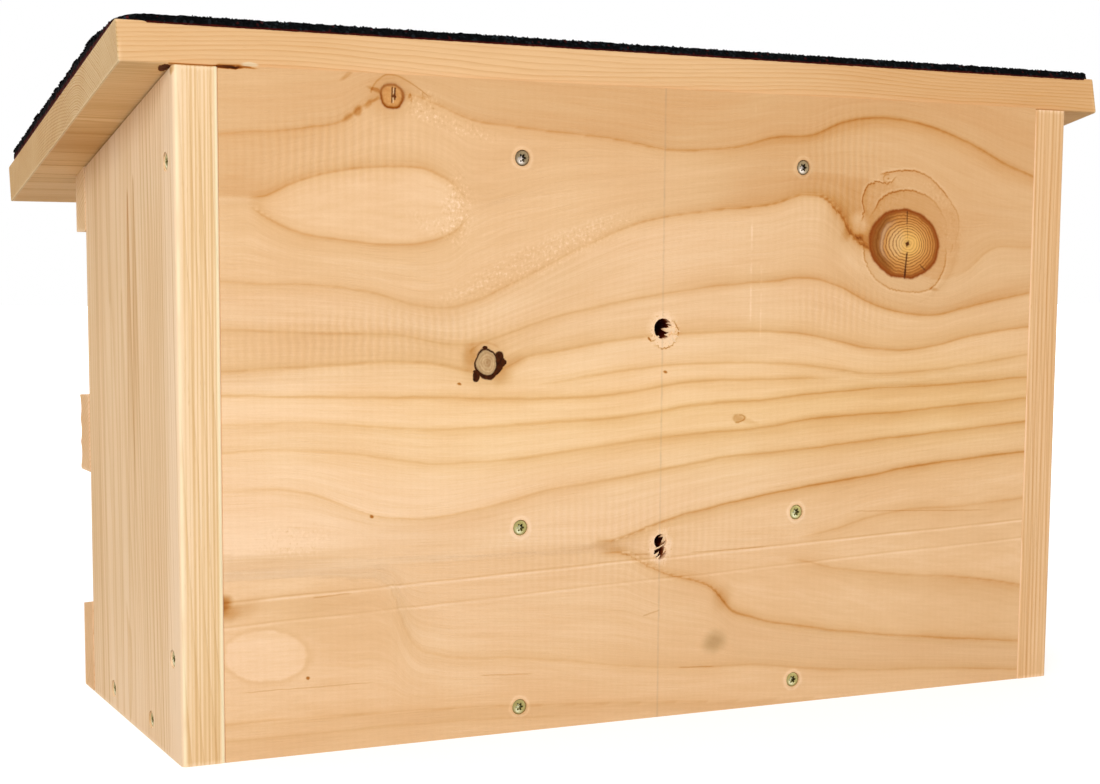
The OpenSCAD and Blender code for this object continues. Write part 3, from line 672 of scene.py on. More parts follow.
# pale torn threads beside two straight seams that run right across the lower part
for x0, z0, rise, strength in ((210, 72.5, -.0345, 1.0), (210, 61.5, -.0375, .6)):
    away = pz - (z0 + (px - x0) * rise) + cloud * 20.0
    broken = (patchy * 2.0 + .85).high(.25)
    base = base - (away + 1.1).bell(.6) * broken * (.085 * strength) + away.bell(.38) * broken * (.10 * strength)

for start, end, wide in (((215, 31), (148, 30.3), .2), ((98, 29), (69, 27.5), .25), ((-9, 24), (-31, 22.6), .32),
                         ((-14, 80.8), (-62, 81.5), .25), ((-108, 97), (-202, 93.2), .25), ((24, 82.2), (6, 81.4), .45),
                         ((11, 51), (1, 53.5), .3), ((180, 71.5), (160, 72.4), .3)):
    base = base + hair(start, end, wide) * .16

# pale speckle where the short grain was bruised: along the third line, at the lens's right end, beside the top knot
speckled = mark(66, 225, 50, 7, -23, .5) * 1.3
for *oval, much in ((109, 247, 6.5, 14, 0, .7, 1.9), (120, 238, 12, 4, 25, .7, 1), (126, 292, 8, 6, 0, .6, 1.8),
                    (108, 283, 17, 3.5, 14, .6, 1.4), (-168, 236, 9, 14, 20, .8, .7), (-158, 258, 11, 3.4, 42, .7, 1.2),
                    (188, 98, 17, 6, 0, .7, 1.1), (-127, 258, 16, 9, -30, .7, .8)):
    speckled = speckled + mark(*oval) * much
base = base + ((-.07 - mottle).high(0.0) * .42 - (mottle - .03).high(0.0) * .42
               - (grainDots - .06).high(0.0) * .16) * speckled

# upright scratches, and the carpenter's pencil line up the middle
for x, z0, z1 in ((-48.5, 283, 300), (-47.6, 195, 242), (-53.5, 186, 228)):
    lane = (sx - x).bell(.5) * pz.step(z0 - 4.0, z0 + 4.0) * (1.0 - pz.step(z1 - 4.0, z1 + 4.0))
    base = base - lane * (third * 3.0 + .3).high(0.0) * .10
pencil = (sx - 1.9 + pz * .0012).bell(.5) * (third * 2.0 + .8)

# the torn layers round the big knot: two outer ones that overlap in a curl, and one close in; each is a dark line with
# painted shadow inside it and a painted highlight just outside it
bigKnot = {"rim": (-138.6, 233.3, 22.2, 17.9, 8), "pith": (-140.8, 233.4), "layers": (
    (((20, 31, 0), (27.6, 31.2, .9), (38.6, 36.4, 1), (48.8, 38, 1), (59, 36, 1), (68, 32.8, .9), (74, 34.2, .5),
      (78, 35, 0)), 2.3),
    (((-160, 26, 0), (-176, 28.5, .25), (60, 39, 0), (65, 38.6, .8), (81, 37.2, 1), (98, 36.8, .9), (110, 36.1, .7),
      (124, 34.7, .8), (138, 34.1, .45), (152, 34.6, .35), (164, 33.3, .2), (178, 30, .1)), 1.1),
    (((-178, 24, 0), (-125, 27.5, .8), (-111, 26.2, .7), (-85, 24.5, .6), (-57, 25.5, .6), (-32, 26.8, .6),
      (-15, 27.2, .8), (10, 27, 0), (40, 27, .5), (55, 28.1, 1), (67, 27.7, 1), (82, 27.2, .9), (101, 26.7, .7),
      (119, 26.9, .45), (136, 26.5, .25), (154, 26, .1), (178, 24, 0)), 1.1))}
for shape, ragged in bigKnot["layers"]:
    off, strength, shade = tornLayer(-140.7, 233.4, shape, ragged)
    base = base + strength * (off.bell(.45) * (.27 + mottle * .5) + shade(2.6) * .085 - (off - .9).bell(.6) * .07)
# the torn layer round the top knot: a dark line with painted shadow inside it
off, strength, shade = tornLayer(141, 295.3, (
    (-60, 10, 0), (2, 9.9, 0), (10, 9.9, .8), (24, 9.6, .7), (52, 9.3, .6), (74, 9.6, .8), (92, 9.4, .8),
    (110, 9.5, .6), (134, 10.1, .7), (154, 12, .8), (168.7, 14.8, .9), (178, 17.6, .3)), .3)
base = base + strength * (off.bell(.40) * .20 + shade(1.8) * .05)
for *ring, change in ((-42.2, 146.4, 3.0, .6, 200, 120, .62, .22), (-42.2, 146.4, 3.0, .5, 0, 190, .62, .10),
                      (-127.2, 266.0, 2.6, .45, 0, 120, .8, .16), (-140.7, 233.4, 31.0, 2.0, 190, 55, 1.0, .035),
                      (94.5, 176, 9.2, .6, 80, 60, 1.0, .09)):
    base = base + arc(*ring) * change
base = base + mark(-127.6, 266.0, .8, .6, 0, .6) * .2

# big knot: rings about a star-shaped pith, a red-brown rim, rough wood at its left shown as a crescent of painted
# shade with a painted highlight inside it, a check up and down
inKnot, knotReach = mark(*bigKnot["rim"], .04), mark(*bigKnot["rim"], .1, "Reach")
pithReach = mark(*bigKnot["pith"], 22.2, 17.9, 0, .1, "Reach")
reach = pithReach + (knotReach - pithReach) * knotReach.step(.25, .95)
rings = ((reach * 12.8 + third * .6 + small * .5) * (2 * math.pi)).sine() * .5 + .5
knotWood = colourScale(reach, (
    (0.0, 190, 126, 50), (.06, 238, 186, 102), (.25, 238, 184, 100), (.38, 228, 170, 92), (.52, 214, 152, 80),
    (.68, 202, 134, 66), (.80, 188, 116, 48), (.93, 168, 92, 26), (1.0, 188, 118, 54)))
leftSide = (px + 138.6).step(3.0, 13.0)
for much, colour in (
        (mottle * .8 + .2, (230, 170, 96)), (mark(-133.4, 234.0, 4.6, 6.6, 0, .6) * .55, (226, 186, 132)),
        (rings.use("POWER", 2.2) * (reach.step(.12, .4) * .42 + .22) * (1.0 - reach.step(.7, .95) * .45)
         * (mottle * 1.6 + 1.1), (122, 58, 4)),
        # painted shade in a crescent at the knot's left, then a painted highlight crescent inside it
        ((reach - .79).bell(.13) * leftSide * .72, (120, 62, 14)),
        ((reach - .68).bell(.045) * leftSide * (pz - 228.0).step(-8.0, 6.0) * .55, (214, 172, 130)),
        ((reach - .95).bell(.08) * (.8 + mottle * .6), (134, 56, 4))):
    knotWood = mix(much, knotWood, paint(*colour))
star = (mark(-140.8, 233.3, 1.1, 1.2, 0, .7) + mark(-140.8, 233.3, .5, 1.9, 20, .6) * .6
        + mark(-140.8, 233.3, 1.7, .4, 10, .6) * .5)
checks = (hair((-140.7, 229.6), (-139.4, 216.0), .48, True) + hair((-139.9, 250.2), (-140.2, 242.5), .30, True) * .75
          + hair((-140.2, 243), (-140.7, 235), .22, True) * .35 + hair((-148.8, 222.6), (-152.6, 219.6), .45) * .6
          + hair((-139.7, 220.5), (-139.4, 215.0), .45, True) * .7).low(1.0)

# small knots: a cut round one with cracks, and a loose one with black bark round it
oneKnot = (140.8, 295.4, 5.7, 5.5, 0)
inOne, oneReach = mark(*oneKnot, .09), mark(*oneKnot, .1, "Reach")
oneWood = colourScale(mottle + .5, ((0.2, 200, 134, 72), (.8, 222, 164, 100)))
oneWood = mix(oneReach.step(.55, 1.0) * mark(140.0, 291.5, 5.5, 3.4, 0, .7) * .8, oneWood, paint(176, 108, 36))
oneRing = (oneReach - .95).bell(.13) * (mark(141.5, 290.8, 7.5, 6.5, 0, .7) * .35 + .68 + mottle * .6)
oneCracks = (hair((140.6, 299.8), (140.9, 291.8), .26, True) + hair((139.2, 299.4), (139.6, 293.2), .46, True)
             + mark(139.9, 295.2, .9, .5, 10, .6) * .8).low(1.0)
oneSlivers = (hair((139.9, 299.0), (140.1, 296.2), .25, True)
              + hair((140.3, 294.8), (140.3, 292.2), .24, True)).low(1.0)
bark = mark(94.2, 175.0, 6.1, 7.4, -12, .05)
for lobe in ((88.3, 177.6, 2.5, 3.5, 6), (87.0, 175.9, 2.3, 2.4, 0), (85.4, 175.9, 1.3, 1.2, 0),
             (89.9, 171.6, 4.6, 1.7, -38), (98.4, 171.3, 3.0, 1.2, 10), (99.7, 169.7, 1.8, 2.9, 6),
             (95.2, 182.6, 1.4, .9, 0)):
    bark = bark.high(mark(*lobe, .13))
core = mark(94.5, 175.8, 5.05, 5.75, -11, .06)
coreReach = mark(94.2, 175.9, 5.05, 5.75, -11, .1, "Reach")
coreWood = mix((coreReach * 26.0).sine() * .18 + mottle * 1.1 + .42, paint(216, 184, 138), paint(176, 130, 84))
coreWood = mix(mark(93.6, 176.2, 1.2, 2.2, 10, .7) * .5, coreWood, paint(150, 104, 58))
coreWood = mix(coreReach.step(.6, 1.05) * .45, coreWood, paint(158, 128, 88))
barkWood = colourScale(mottle + .5, ((.25, 30, 6, 0), (.9, 86, 38, 10)))

# drilled mouths: pale raised wood round each; the hanging holes get painted shade inside, darker with depth
for x, z in panel["screws"]:
    base = base - arc(x, z, 4.9, .8) * .07
for x, z, radius, half in panel["hangers"]:
    mouth = mark(x, z, radius + 2.4, radius + half + 2.6, 0, .35)
    halo = mark(x, z, radius + 3.4, radius + half + 3.4, 0, .3)
    # the dark flecks in the halo round each hanging mouth are painted shade between the raised chips
    base = base - mouth * (.10 + mottle * .4) + (mottle - .06).high(0.0) * halo * 1.5
base = base + mark(9.0, 186.0, .6, 1.2, -35, .5) * .5 + mark(7.0, 185.2, 1.4, .35, -14, .6) * .3
# the upper mouth was torn further out: a pale ragged ring with a thin dark outline to the right and below
torn = mark(.6, 189.1, 7.3, 7.5, 20, .3, "Reach") + mottle * .42
tornSide = (pz * -.8 - px + 152.0).step(-2.0, 4.0) * (third * 4.0 + .8).high(.1).low(1.0)
base = (base - (1.0 - torn.step(.86, .99)) * (.09 + mottle * .3) + (torn - 1.0).bell(.055) * tornSide * .55
        + (1.0 - torn.step(.8, 1.1)) * (grainDots - .06).high(0.0) * 1.1
        + (torn - .74).bell(.05) * tornSide * (mottle * 4.0).high(0.0) * .3)
# painted shade inside the hanging holes: the walls darken the deeper they lie
inHole = sum(1.0 - length(px - x, (abs(pz - z) - half).high(0.0)).step(radius + .7, radius + 1.4)
             for x, z, radius, half in panel["hangers"])
inside = (1.0 - py.step(81.5, 85.3)) * inHole.low(1.0)

wood = honey(base.high(0.0), tree)
yellowBand = (pz - 150.0).bell(33.0) * (1.0 - abs(px + 40.0).step(120.0, 260.0) * .6)
for much, colour, kind in (
        ((line * 4.5).low(1.0), paint(255, 249, 236), "MULTIPLY"),
        (yellowBand, paint(254, 252, 236), "MULTIPLY"),
        (cloud * 9.0 + .25, paint(255, 246, 244), "MULTIPLY"),
        (mark(-30, 35.2, 5.6, 4.4, -20, .8) * .55, paint(164, 126, 74), "MIX"),
        (pencil * .22, paint(150, 128, 112), "MIX"),
        (inOne, oneWood, "MIX"),
        (oneRing.low(1.0), paint(140, 68, 8), "MIX"),
        (oneCracks * .95, paint(92, 34, 0), "MIX"),
        (oneSlivers * .8, paint(246, 208, 162), "MIX"),
        (bark, barkWood, "MIX"),
        (core, coreWood, "MIX"),
        (inKnot, knotWood, "MIX"),
        ((star * .8 + checks).low(1.0) * .95, paint(72, 24, 0), "MIX"),
        # painted shade down the hanging holes' walls
        (inside, mix(1.0 - py.step(79.0, 84.8), paint(190, 120, 64), paint(84, 26, 12)), "MULTIPLY")):
    wood = mix(much, wood, colour, kind)
relief = (fibre * .5 + chatter * .25 - line * .35 + grainDots * .12
          - (checks + oneCracks + bark * (1.0 - core)) * 1.6)
finishShader(shader, wood, .62 - line * .25 + fibre * .12 - inKnot * .12, relief, .0004, .8)
dress(backPanel, backWood)
print("back panel: figured, with its knots, seams and drilled mouths")

# the plain boards, each with: which way the grain runs, where the pith lies across and through the board (mm), the
# year's width, how far the rings lean along the grain, the base darkness, how strongly the years show, and a seed
boards = {
    "side_left": ("z", -14, 305, 2.9, .03, .068, .15, 1.3), "side_right": ("z", 20, -300, 2.6, -.02, .098, .17, 7.1),
    "floor_board": ("x", 10, -60, 3.4, .01, .14, .16, 3.9), "partition_left": ("z", 30, 20, 3.0, .02, .14, .16, 5.2),
    "partition_right": ("z", -20, -10, 3.1, -.03, .15, .16, 8.8), "top_rail": ("x", -60, 200, 2.4, .01, .09, .16, 2.4),
    "bottom_rail": ("x", -180, 70, 2.8, -.01, .13, .18, 6.6), "ledge_left": ("x", -60, 90, 2.3, .02, .13, .16, 4.1),
    "ledge_middle": ("x", -160, 190, 2.7, -.02, .15, .15, 9.3), "ledge_right": ("x", -70, 180, 2.5, .01, .13, .17, 1.9),
    "door_left": ("z", 160, -20, 3.6, .04, .13, .20, 2.7), "door_middle": ("z", 8, -125, 3.2, -.05, .14, .19, 5.8),
    "door_right": ("z", -168, -30, 3.4, .05, .13, .20, 8.2),
    "roof_board": ("roof", -96, -58, 1.35, .006, .155, .16, 3.1)}
boardTints = {"side_left": (247, 254, 255), "top_rail": (252, 255, 245), "roof_board": (255, 252, 246),
              "plain": (255, 244, 232)}

# the roof board slopes, so its grain is followed in its own turned axes; its end shows the rings as arcs
roof = {"slope": 12.0, "hinge": (83.5, 304.47), "thick": 18.5, "wide": 525.0, "deep": 250.0, "filler": (205.4, 1.5),
        "end": (261.8, 262.3), "endContrast": .22, "arcCentre": (170.0, 266.0), "arcYear": 1.5}
slopeSine, slopeCosine = math.sin(math.radians(roof["slope"])), math.cos(math.radians(roof["slope"]))


def roofPlace(x, y, z):
    # turned by the slope about the roof's lower back edge: depth along the slope, height square to it
    dy, dz = y - roof["hinge"][0], z - roof["hinge"][1]
    return x, dy * slopeCosine + dz * slopeSine, dz * slopeCosine - dy * slopeSine


def boardWood(name, extra):
    # solid pine in the board's own axes (along, across and through), paler along its edges as a painted highlight on
    # the arrises
    grain, pithAcross, pithThrough, year, lean, base, contrast, seed = boards[name]
    material, tree, shader, (x, y, z) = newMaterial("pine_" + name, 0.62, **woodShine)
    low, high = [tuple(np.array(corner) / mm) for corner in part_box(name)]
    along, across, through = roofPlace(x, y, z) if grain == "roof" else (z, y, x) if grain == "z" else (x, y, z)
    if name.startswith("door"):
        across, through = x, y
    wood = useGroup(tree, pineGroup, {
        "Along": along, "Across": across, "Through": through, "Pith Across": float(pithAcross),
        "Pith Through": float(pithThrough), "Lean": lean, "Year": year, "Seed": seed, "Base": base,
        "Contrast": abs(x).step(*roof["end"]) * (roof["endContrast"] if grain == "roof" else 0.0) + contrast})
    edge = useGroup(tree, edgeGroup, {"Place": combine(x, y, z), "Low": low, "High": high, "Width": 2.4})["Mask"]
    change, casts = extra(x, y, z) if extra else (0.0, ())
    # the edge mask lightens the wood: painted highlight along the arrises
    colour = honey((wood["Depth"] + change - edge * .10).high(0.0), tree)
    patches = noise(combine(x / 40.0, y / 40.0, z / 40.0 + seed), 2.0) * .6 + .4
    for much, cast, kind in ((patches, boardTints.get(name, boardTints["plain"]), "MULTIPLY"), *casts):
        colour = mix(much, colour, paint(*cast), kind)
    finishShader(shader, colour, .60 + wood["Height"] * .12 + edge * .08, wood["Height"], .0004, .7)
    return material


def threads(place, rows):
    # thin dark threads of late wood, each as where it lies, its width and its strength
    return sum((place - at).bell(wide) * dark for at, wide, dark in rows)


def sideMarks(x, y, z):
    # the left side's own figure: a pale band at the back cut by a slanting line, threads that run up the board, two
    # brown flames that end below the eaves, and on the back edge a few threads of late wood; a painted highlight runs
    # along the back edge's arrises, and a dark line at its very top is painted shadow under the roof
    sway = noise(combine(y / 14.0, z / 160.0, 5.0), 2.0) * 2.4
    run = y + sway
    lines = threads(run, (
        (75.5, .5, .05), (70, .6, .04), (64, .7, .06), (60, .5, .05), (55, .6, .06), (51, .5, .06), (46, .6, .05),
        (40, .7, .07), (33, .6, .05), (28, .8, .06), (-20, 1.2, .05), (-34, 1.4, .04), (-52, 1.6, .05),
        (-63, 2.2, .05)))
    flames = sum(((run - at).bell((top - z).high(0.0) * .05 + .5) * z.step(110.0, 215.0) * .7
                  + (abs(run - at) - (top - z) * .045).bell(.6) * (z.step(20.0, 200.0) * .6 + .25))
                 * (1.0 - z.step(top - 5.0, top)) * dark
                 for at, top, dark in ((14, 262, .12), (3, 256, .13), (-12, 210, .05)))
    slant = (y - 90.0 + z * .042).bell(.6) * .07
    onEdge = y.step(85.2, 85.8)
    edgeLines = threads(x + z * .004 + sway * .4, (
        (237, .6, .05), (235.2, .4, .05), (233.5, .7, .10), (231.6, .4, .09), (229.6, .9, .07), (227.7, .5, .10),
        (226.2, .4, .06), (224.8, .6, .11), (223.3, .5, .08)))
    pale = run.step(60.0, 76.0) * .08 + abs(z - 150.0).step(60.0, 140.0) * .05
    front = (1.0 - y.step(-86.0, -20.0)) * .03
    outer = x.step(238.5, 239.5)
    stain = outer * (1.0 - (length((y - 83.5) / 3.2, (z - 303.5) / 4.2) + sway * .12).step(.5, 1.1))
    # painted highlight along the back edge's two arrises, in patches on the outer one
    highlightPatches = noise(combine(z / 25.0, 3.0, 0.0), 1.0).step(-.3, .1)
    arrisHighlight = onEdge * ((x - 221.5).bell(.8) + (x - 238.8).bell(.9) * .8 * highlightPatches).low(1.0)
    # the bell at z 304.3 on the back edge is painted shadow in the gap under the roof
    return ((outer * (lines * 1.7 + flames * 1.9 + slant + front - pale) * (1.0 - onEdge)
             + onEdge * (edgeLines * 1.6 - .09 + (1.0 - z.step(0.0, 120.0)) * .05 + (z - 304.3).bell(.45) * .4)
             + stain * .35).high(-.14),
            ((arrisHighlight * .75, (255, 243, 206), "MIX"), (onEdge, (255, 255, 250), "MULTIPLY")))


def endMarks(x, y, z):
    # threads of late wood up the right side's back edge
    sway = noise(combine(x / 9.0, z / 150.0, 2.0), 2.0) * 1.6
    lines = threads(x + sway, (
        (-221.5, .5, .07), (-224, .4, .06), (-226.5, .6, .08), (-229, .4, .06), (-231.5, .5, .08), (-234, .4, .07),
        (-236.5, .6, .06), (-238.6, .4, .05)))
    return lines * 1.6 * y.step(85.2, 85.8), ()


def roofMarks(x, y, z):
    # the underside and the ends are browner, the back edge darkens towards the right hand; filler beside the corner,
    # a painted shadow along the foot of the back edge for the gap near the left end, and a spot of tar; on the ends,
    # rings as arcs: sin(distance from their centre / year) squared, and a painted highlight along their lower arris
    along, depth, height = roofPlace(x, y, z)
    sway = noise(combine(x / 3.0, depth / 3.0, height / 3.0), 2.0)
    filler = (length((along - roof["filler"][0]) / 3.6, (height - roof["filler"][1]) / 1.1)
              + length(depth, 0.0) / 3.0 + sway * .5)
    under = 1.0 - height.step(-.2, .4)
    onBack = depth.step(-.6, -.1)
    lines = threads(depth + sway * 1.5, (
        (-85, 1.2, .06), (-112, 1.5, .08), (-147, 1.0, .08), (-163, .8, .10), (-172, .8, .16), (-190, .6, .14),
        (-198, .6, .08), (-206, .5, .12), (-222, .8, .08)))
    # painted shadow of the gap between roof and side, along the foot of the back face near the left end
    gapShadow = (onBack * (height - .1).bell(.9 - x.step(219.0, 221.0) * .5)
               * x.step(207.0, 211.0) * (1.0 - x.step(240.5, 241.5)))
    tarSpot = under * (1.0 - (length((x - 241.8) / 3.0, (depth + 5.0) / 5.5) + sway * 1.4).step(.75, 1.0))
    endGrain = abs(x).step(*roof["end"])
    band = (noise(combine(depth / 16.0, 2.0, x / 400.0), 3.0) * .35
            + noise(combine(depth / 1.5, 6.0, x / 260.0), 3.0) * .36 + (depth + 128.0).bell(34.0) * .13)
    bow = length(depth + roof["arcCentre"][0], height + roof["arcCentre"][1]) + sway * .4
    years = ((bow * (2 * math.pi / roof["arcYear"])).sine() * .5 + .5).use("POWER", 2.0)
    arcs = endGrain * (1.0 - abs(depth + 137.0).step(24.0, 52.0)) * years * .13
    # painted highlight along the lower arris of each end
    arrisHighlight = (abs(x) - 262.1).bell(.5) * height.bell(.8)
    return ((arcs + under * (band - .15 + (depth + 132.0).bell(40.0) * .11 + lines * 2.0)
             + endGrain * (.03 + (-depth / 250.0) * .075)
             + (1.0 - x.step(-220.0, 60.0)) * .10 - (1.0 - filler.step(.7, 1.3)) * .12 + gapShadow * .8 + tarSpot * 1.5),
            ((under, (255, 252, 226), "MULTIPLY"), (endGrain, (244, 255, 255), "MULTIPLY"),
             ((1.0 - filler.step(.7, 1.3)) * .5, (214, 204, 172), "MIX"), (arrisHighlight * .6, (250, 226, 184), "MIX")))


ownMarks = {"side_left": sideMarks, "side_right": endMarks, "roof_board": roofMarks}
for name in boards:
    dress(nodes[name], boardWood(name, ownMarks.get(name)))
print("boards: %d dressed in pine" % len(boards))

# plated steel: zinc with a soft blue-grey bloom, or yellow passivated zinc with a green and pink cast
metalGroup, (place, bright, dull, stain, grain), end = newGroup(
    "platedSteel", {"Place": (0.0, 0.0, 0.0), "Bright": paint(196, 198, 200), "Dull": paint(140, 143, 146),
                    "Stain": paint(96, 92, 86), "Grain": 1.0}, ("Color", "Roughness", "Height"))
place = split(place)
fine = noise(scaled(place, .5), 3.0, .6)
cloud = noise(scaled(place, 5.0), 2.0)
colour = mix((cloud * 1.2 + fine * .6 * grain + .45).low(1.0).high(0.0), bright, dull)
plug(mix((cloud - .16).step(0.0, .2) * .5, colour, stain), end.inputs["Color"])
plug(.34 + fine * .22 + split(cells(scaled(place, 1.6), "Color"))[0] * .08, end.inputs["Roughness"])
plug(fine, end.inputs["Height"])


def metal(name, bright, dull, stain, grain=1.0, glint=None):
    # plated steel; with a glint it is a screw head, where painted shade darkens the star recess, a painted highlight in
    # the glint colour lies on its middle and on one side of the face, and painted shade darkens its rim
    material, tree, shader, place = newMaterial(name, 0.4, Metallic=1.0)
    steel = useGroup(tree, metalGroup, {"Place": combine(*place), "Bright": paint(*bright), "Dull": paint(*dull),
                                        "Stain": paint(*stain), "Grain": grain})
    colour, roughness = steel["Color"], steel["Roughness"]
    if glint:
        sunk, shine, rimShade = split(attribute(tree, "face"))
        # painted shade on the rim in the stain colour, painted highlight in the glint colour, painted shade in the
        # recess
        for much, tone in ((rimShade * .7, stain), (shine, glint), (sunk * .8, (20, 13, 6))):
            colour = mix(much, colour, paint(*tone))
        roughness = roughness + sunk * .2
    finishShader(shader, colour, roughness, steel["Height"], .0001, .4)
    return material


zincMetal = metal("zincSteel", (196, 198, 198), (146, 148, 148), (112, 108, 100))
yellowMetal = metal("yellowZinc", (206, 192, 122), (156, 144, 80), (130, 104, 76), 1.4)
# screw heads: the last colour is a painted highlight, and the stain colour also paints shade on the rim
zincHead = metal("zincHead", (150, 132, 102), (116, 98, 70), (92, 72, 48), 1.2, (252, 242, 234))
yellowHead = metal("yellowHead", (188, 178, 116), (150, 138, 82), (136, 124, 80), 1.2, (244, 244, 210))
for name, node in nodes.items():
    if "hinge" in name or "button" in name or "leaves" in name or "leaf" in name:
        dress(node, zincMetal)
    elif name.startswith(("top_rail_s", "bottom_rail_s", "roof_s", "ledge_s")):
        dress(node, yellowMetal)

# wood screws seen on the back and the sides: a countersunk head with a six-lobed star recess
screw = {"radius": 3.65, "edge": .45, "star": 1.6, "lobe": .44, "recess": 1.9, "neck": 1.75, "head": 2.3, "shank": 9.0,
         "around": 48, "light": 4.2, "zinc": panel["screws"][:2], "yellow": panel["screws"][2:],
         "sides": ((72, 46), (72, 264), (-42, 10), (32, 10))}


def headShades(rows, around):
    # how much painted shade and painted highlight each ring gets: the recess's wall is darkest, its middle shines, and
    # so does the face on one side, as a power of the half cosine of the angle; the last rings get painted shade at the
    # rim
    def column(*values):
        return np.array(values + (values[-1],) * (rows - len(values)))[:, None] * np.ones_like(around)

    side = .5 + .5 * np.cos(around - screw["light"])
    sunk, shine = column(0, .2, .8, 1, .75, .15, 0), column(1, .85, .15, 0)
    shine[2:7] = side ** 6 * np.array([.2, 0, .2, .8, .5])[:, None]
    sunk[1:6] *= 1 - .75 * side
    return np.stack([sunk, shine, column(0, 0, 0, 0, 0, 0, .2, .7, 1)], -1).reshape(-1, 3)


def screwSurface(centre, outward, up, around):
    # carried round the axis: floor of the recess, its wall where r = star + lobe * cos(6 angle), flat top, rolled
    # rim, cone down to the neck and a closed shank; height is measured outward from the head's face
    lobes, one = screw["star"] + screw["lobe"] * np.cos(6 * around), np.ones_like(around)
    r, e, neck, recess = screw["radius"], screw["edge"], screw["neck"], screw["recess"]
    rows = [(one * .02, -recess - .5), (lobes * .45, -recess), (lobes * .86, -recess), (lobes * .96, -recess * .55),
            (lobes, -.10), (lobes + .14, 0.0), (one * (r - 1.1), .04), (one * (r - e), -.02),
            (one * (r - e * .3), -e * .35), (one * r, -e), (one * (r - .12), -e - .3), (one * neck, -screw["head"]),
            (one * neck * .8, -screw["head"] - 1.5), (one * neck * .8, -screw["shank"]),
            (one * .02, -screw["shank"] - 1.0)]
    radii, heights = np.stack([row[0] for row in rows]), np.array([row[1] for row in rows])
    outward, up = np.array(outward, float), np.array(up, float)
    turn = np.cos(around)[:, None] * np.cross(up, outward) + np.sin(around)[:, None] * up
    points = np.array(centre, float) + radii[..., None] * turn + heights[:, None, None] * outward
    return points.reshape(-1, 3), len(rows)


def makeScrews(name, places, outward, material, replaced, seed):
    # one screw at each place, each turned about its axis by a seeded angle from 0 to 1 radian, with its first ring
    # and its last one closed
    turns = np.random.default_rng(seed).uniform(0, 1, len(places))
    points, faces, shades, first = [], [], [], 0
    for centre, turned in zip(places, turns):
        around = np.linspace(0, 2 * np.pi, screw["around"], endpoint=False) + turned
        block, rows = screwSurface(centre, outward, (0, 0, 1), around)
        shades.append(headShades(rows, around))
        points.append(block)
        ring, last = list(range(first, first + screw["around"])), first + (rows - 1) * screw["around"]
        faces += gridFaces(rows, screw["around"], first, True)[:, ::-1].tolist()
        faces += [ring, [last + k - first for k in ring][::-1]]
        first += len(block)
    piece = addMesh(name, np.concatenate(points), faces, 32, [replaced])
    # the face field: shares of painted shade and painted highlight at each point
    addField(piece, "face", np.concatenate(shades))
    dress(piece, material)


for name, deep, slot, material, seed in (("zinc", .15, "zinc_steel", zincHead, 4),
                                         ("yellow", .2, "yellow_zinc", yellowHead, 9)):
    makeScrews("backScrews" + name.capitalize(), [(x, backFace - deep, z) for x, z in screw[name]], (0, 1, 0),
               material, "back_screws_" + name, seed)
for side, toward, seed in (("left", 1, 21), ("right", -1, 22)):
    low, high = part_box("side_screws_" + side)
    face = (high.x if toward > 0 else low.x) / mm - .04 * toward
    makeScrews("sideScrews" + side.capitalize(), [(face, y, z) for y, z in screw["sides"]], (toward, 0, 0),
               yellowHead, "side_screws_" + side, seed)
print("screws: star recesses cut")

# roofing felt: a granule-faced sheet with rounded corners, rolled over and cut at its edges
felt = {"step": 1.5, "corner": 15.0, "thick": 4.0, "sharper": 8.5, "droop": 1.1, "inset": .5, "sink": .55, "roll": .8,
        "grain": .42, "coarse": .8, "lip": 3.0, "seed": 31, "crystals": 6400, "crystalSize": (.45, 1.0), "margin": .6,
        "backShare": .22, "leftShare": .36, "rightShare": .42, "strip": 1.2,
        "edge": ((.5, .95, 1.0, 0), (.85, .70, 1.0, 0), (1.0, .34, .6, .5), (.92, 0.0, .35, 1.0), (-2.0, 0.0, 0.0, 0))}


def onRoof(u, w, h):
    # a place given along the roof's back edge, down the slope (negative forwards) and square above its underside
    y0, z0 = roof["hinge"]
    return np.stack([u, y0 + w * slopeCosine - h * slopeSine, z0 + w * slopeSine + h * slopeCosine], -1)


def feltPlan(u, w, halfWide, halfDeep, corner):
    # a rectangle's grid drawn in at its corners: in each corner square p becomes p * root(1 - q^2 / 2) and q
    # becomes q * root(1 - p^2 / 2), which turns the square into a quarter of a disc
    corner = np.where((u < 0) & (w > 0), corner - felt["sharper"], corner)
    cu, cw = np.clip(u, corner - halfWide, halfWide - corner), np.clip(w, corner - halfDeep, halfDeep - corner)
    p, q = (u - cu) / corner, (w - cw) / corner
    return cu + corner * p * np.sqrt(1 - q * q / 2), cw + corner * q * np.sqrt(1 - p * p / 2)


def edgeLip(u, w, halfWide, halfDeep):
    # the sheet's left edge stands up from the board, more in the middle of its length than at the corners:
    # lip * exp(-(way in / 5)^2) * smooth rise over the first 45 mm from the back corner
    rise = np.clip((halfDeep - w - 8) / 45, 0, 1)
    ends = np.clip((w + halfDeep) / 20, 0, 1)
    return felt["lip"] * np.exp(-((halfWide - u) / 5) ** 2) * rise * rise * (3 - 2 * rise) * ends


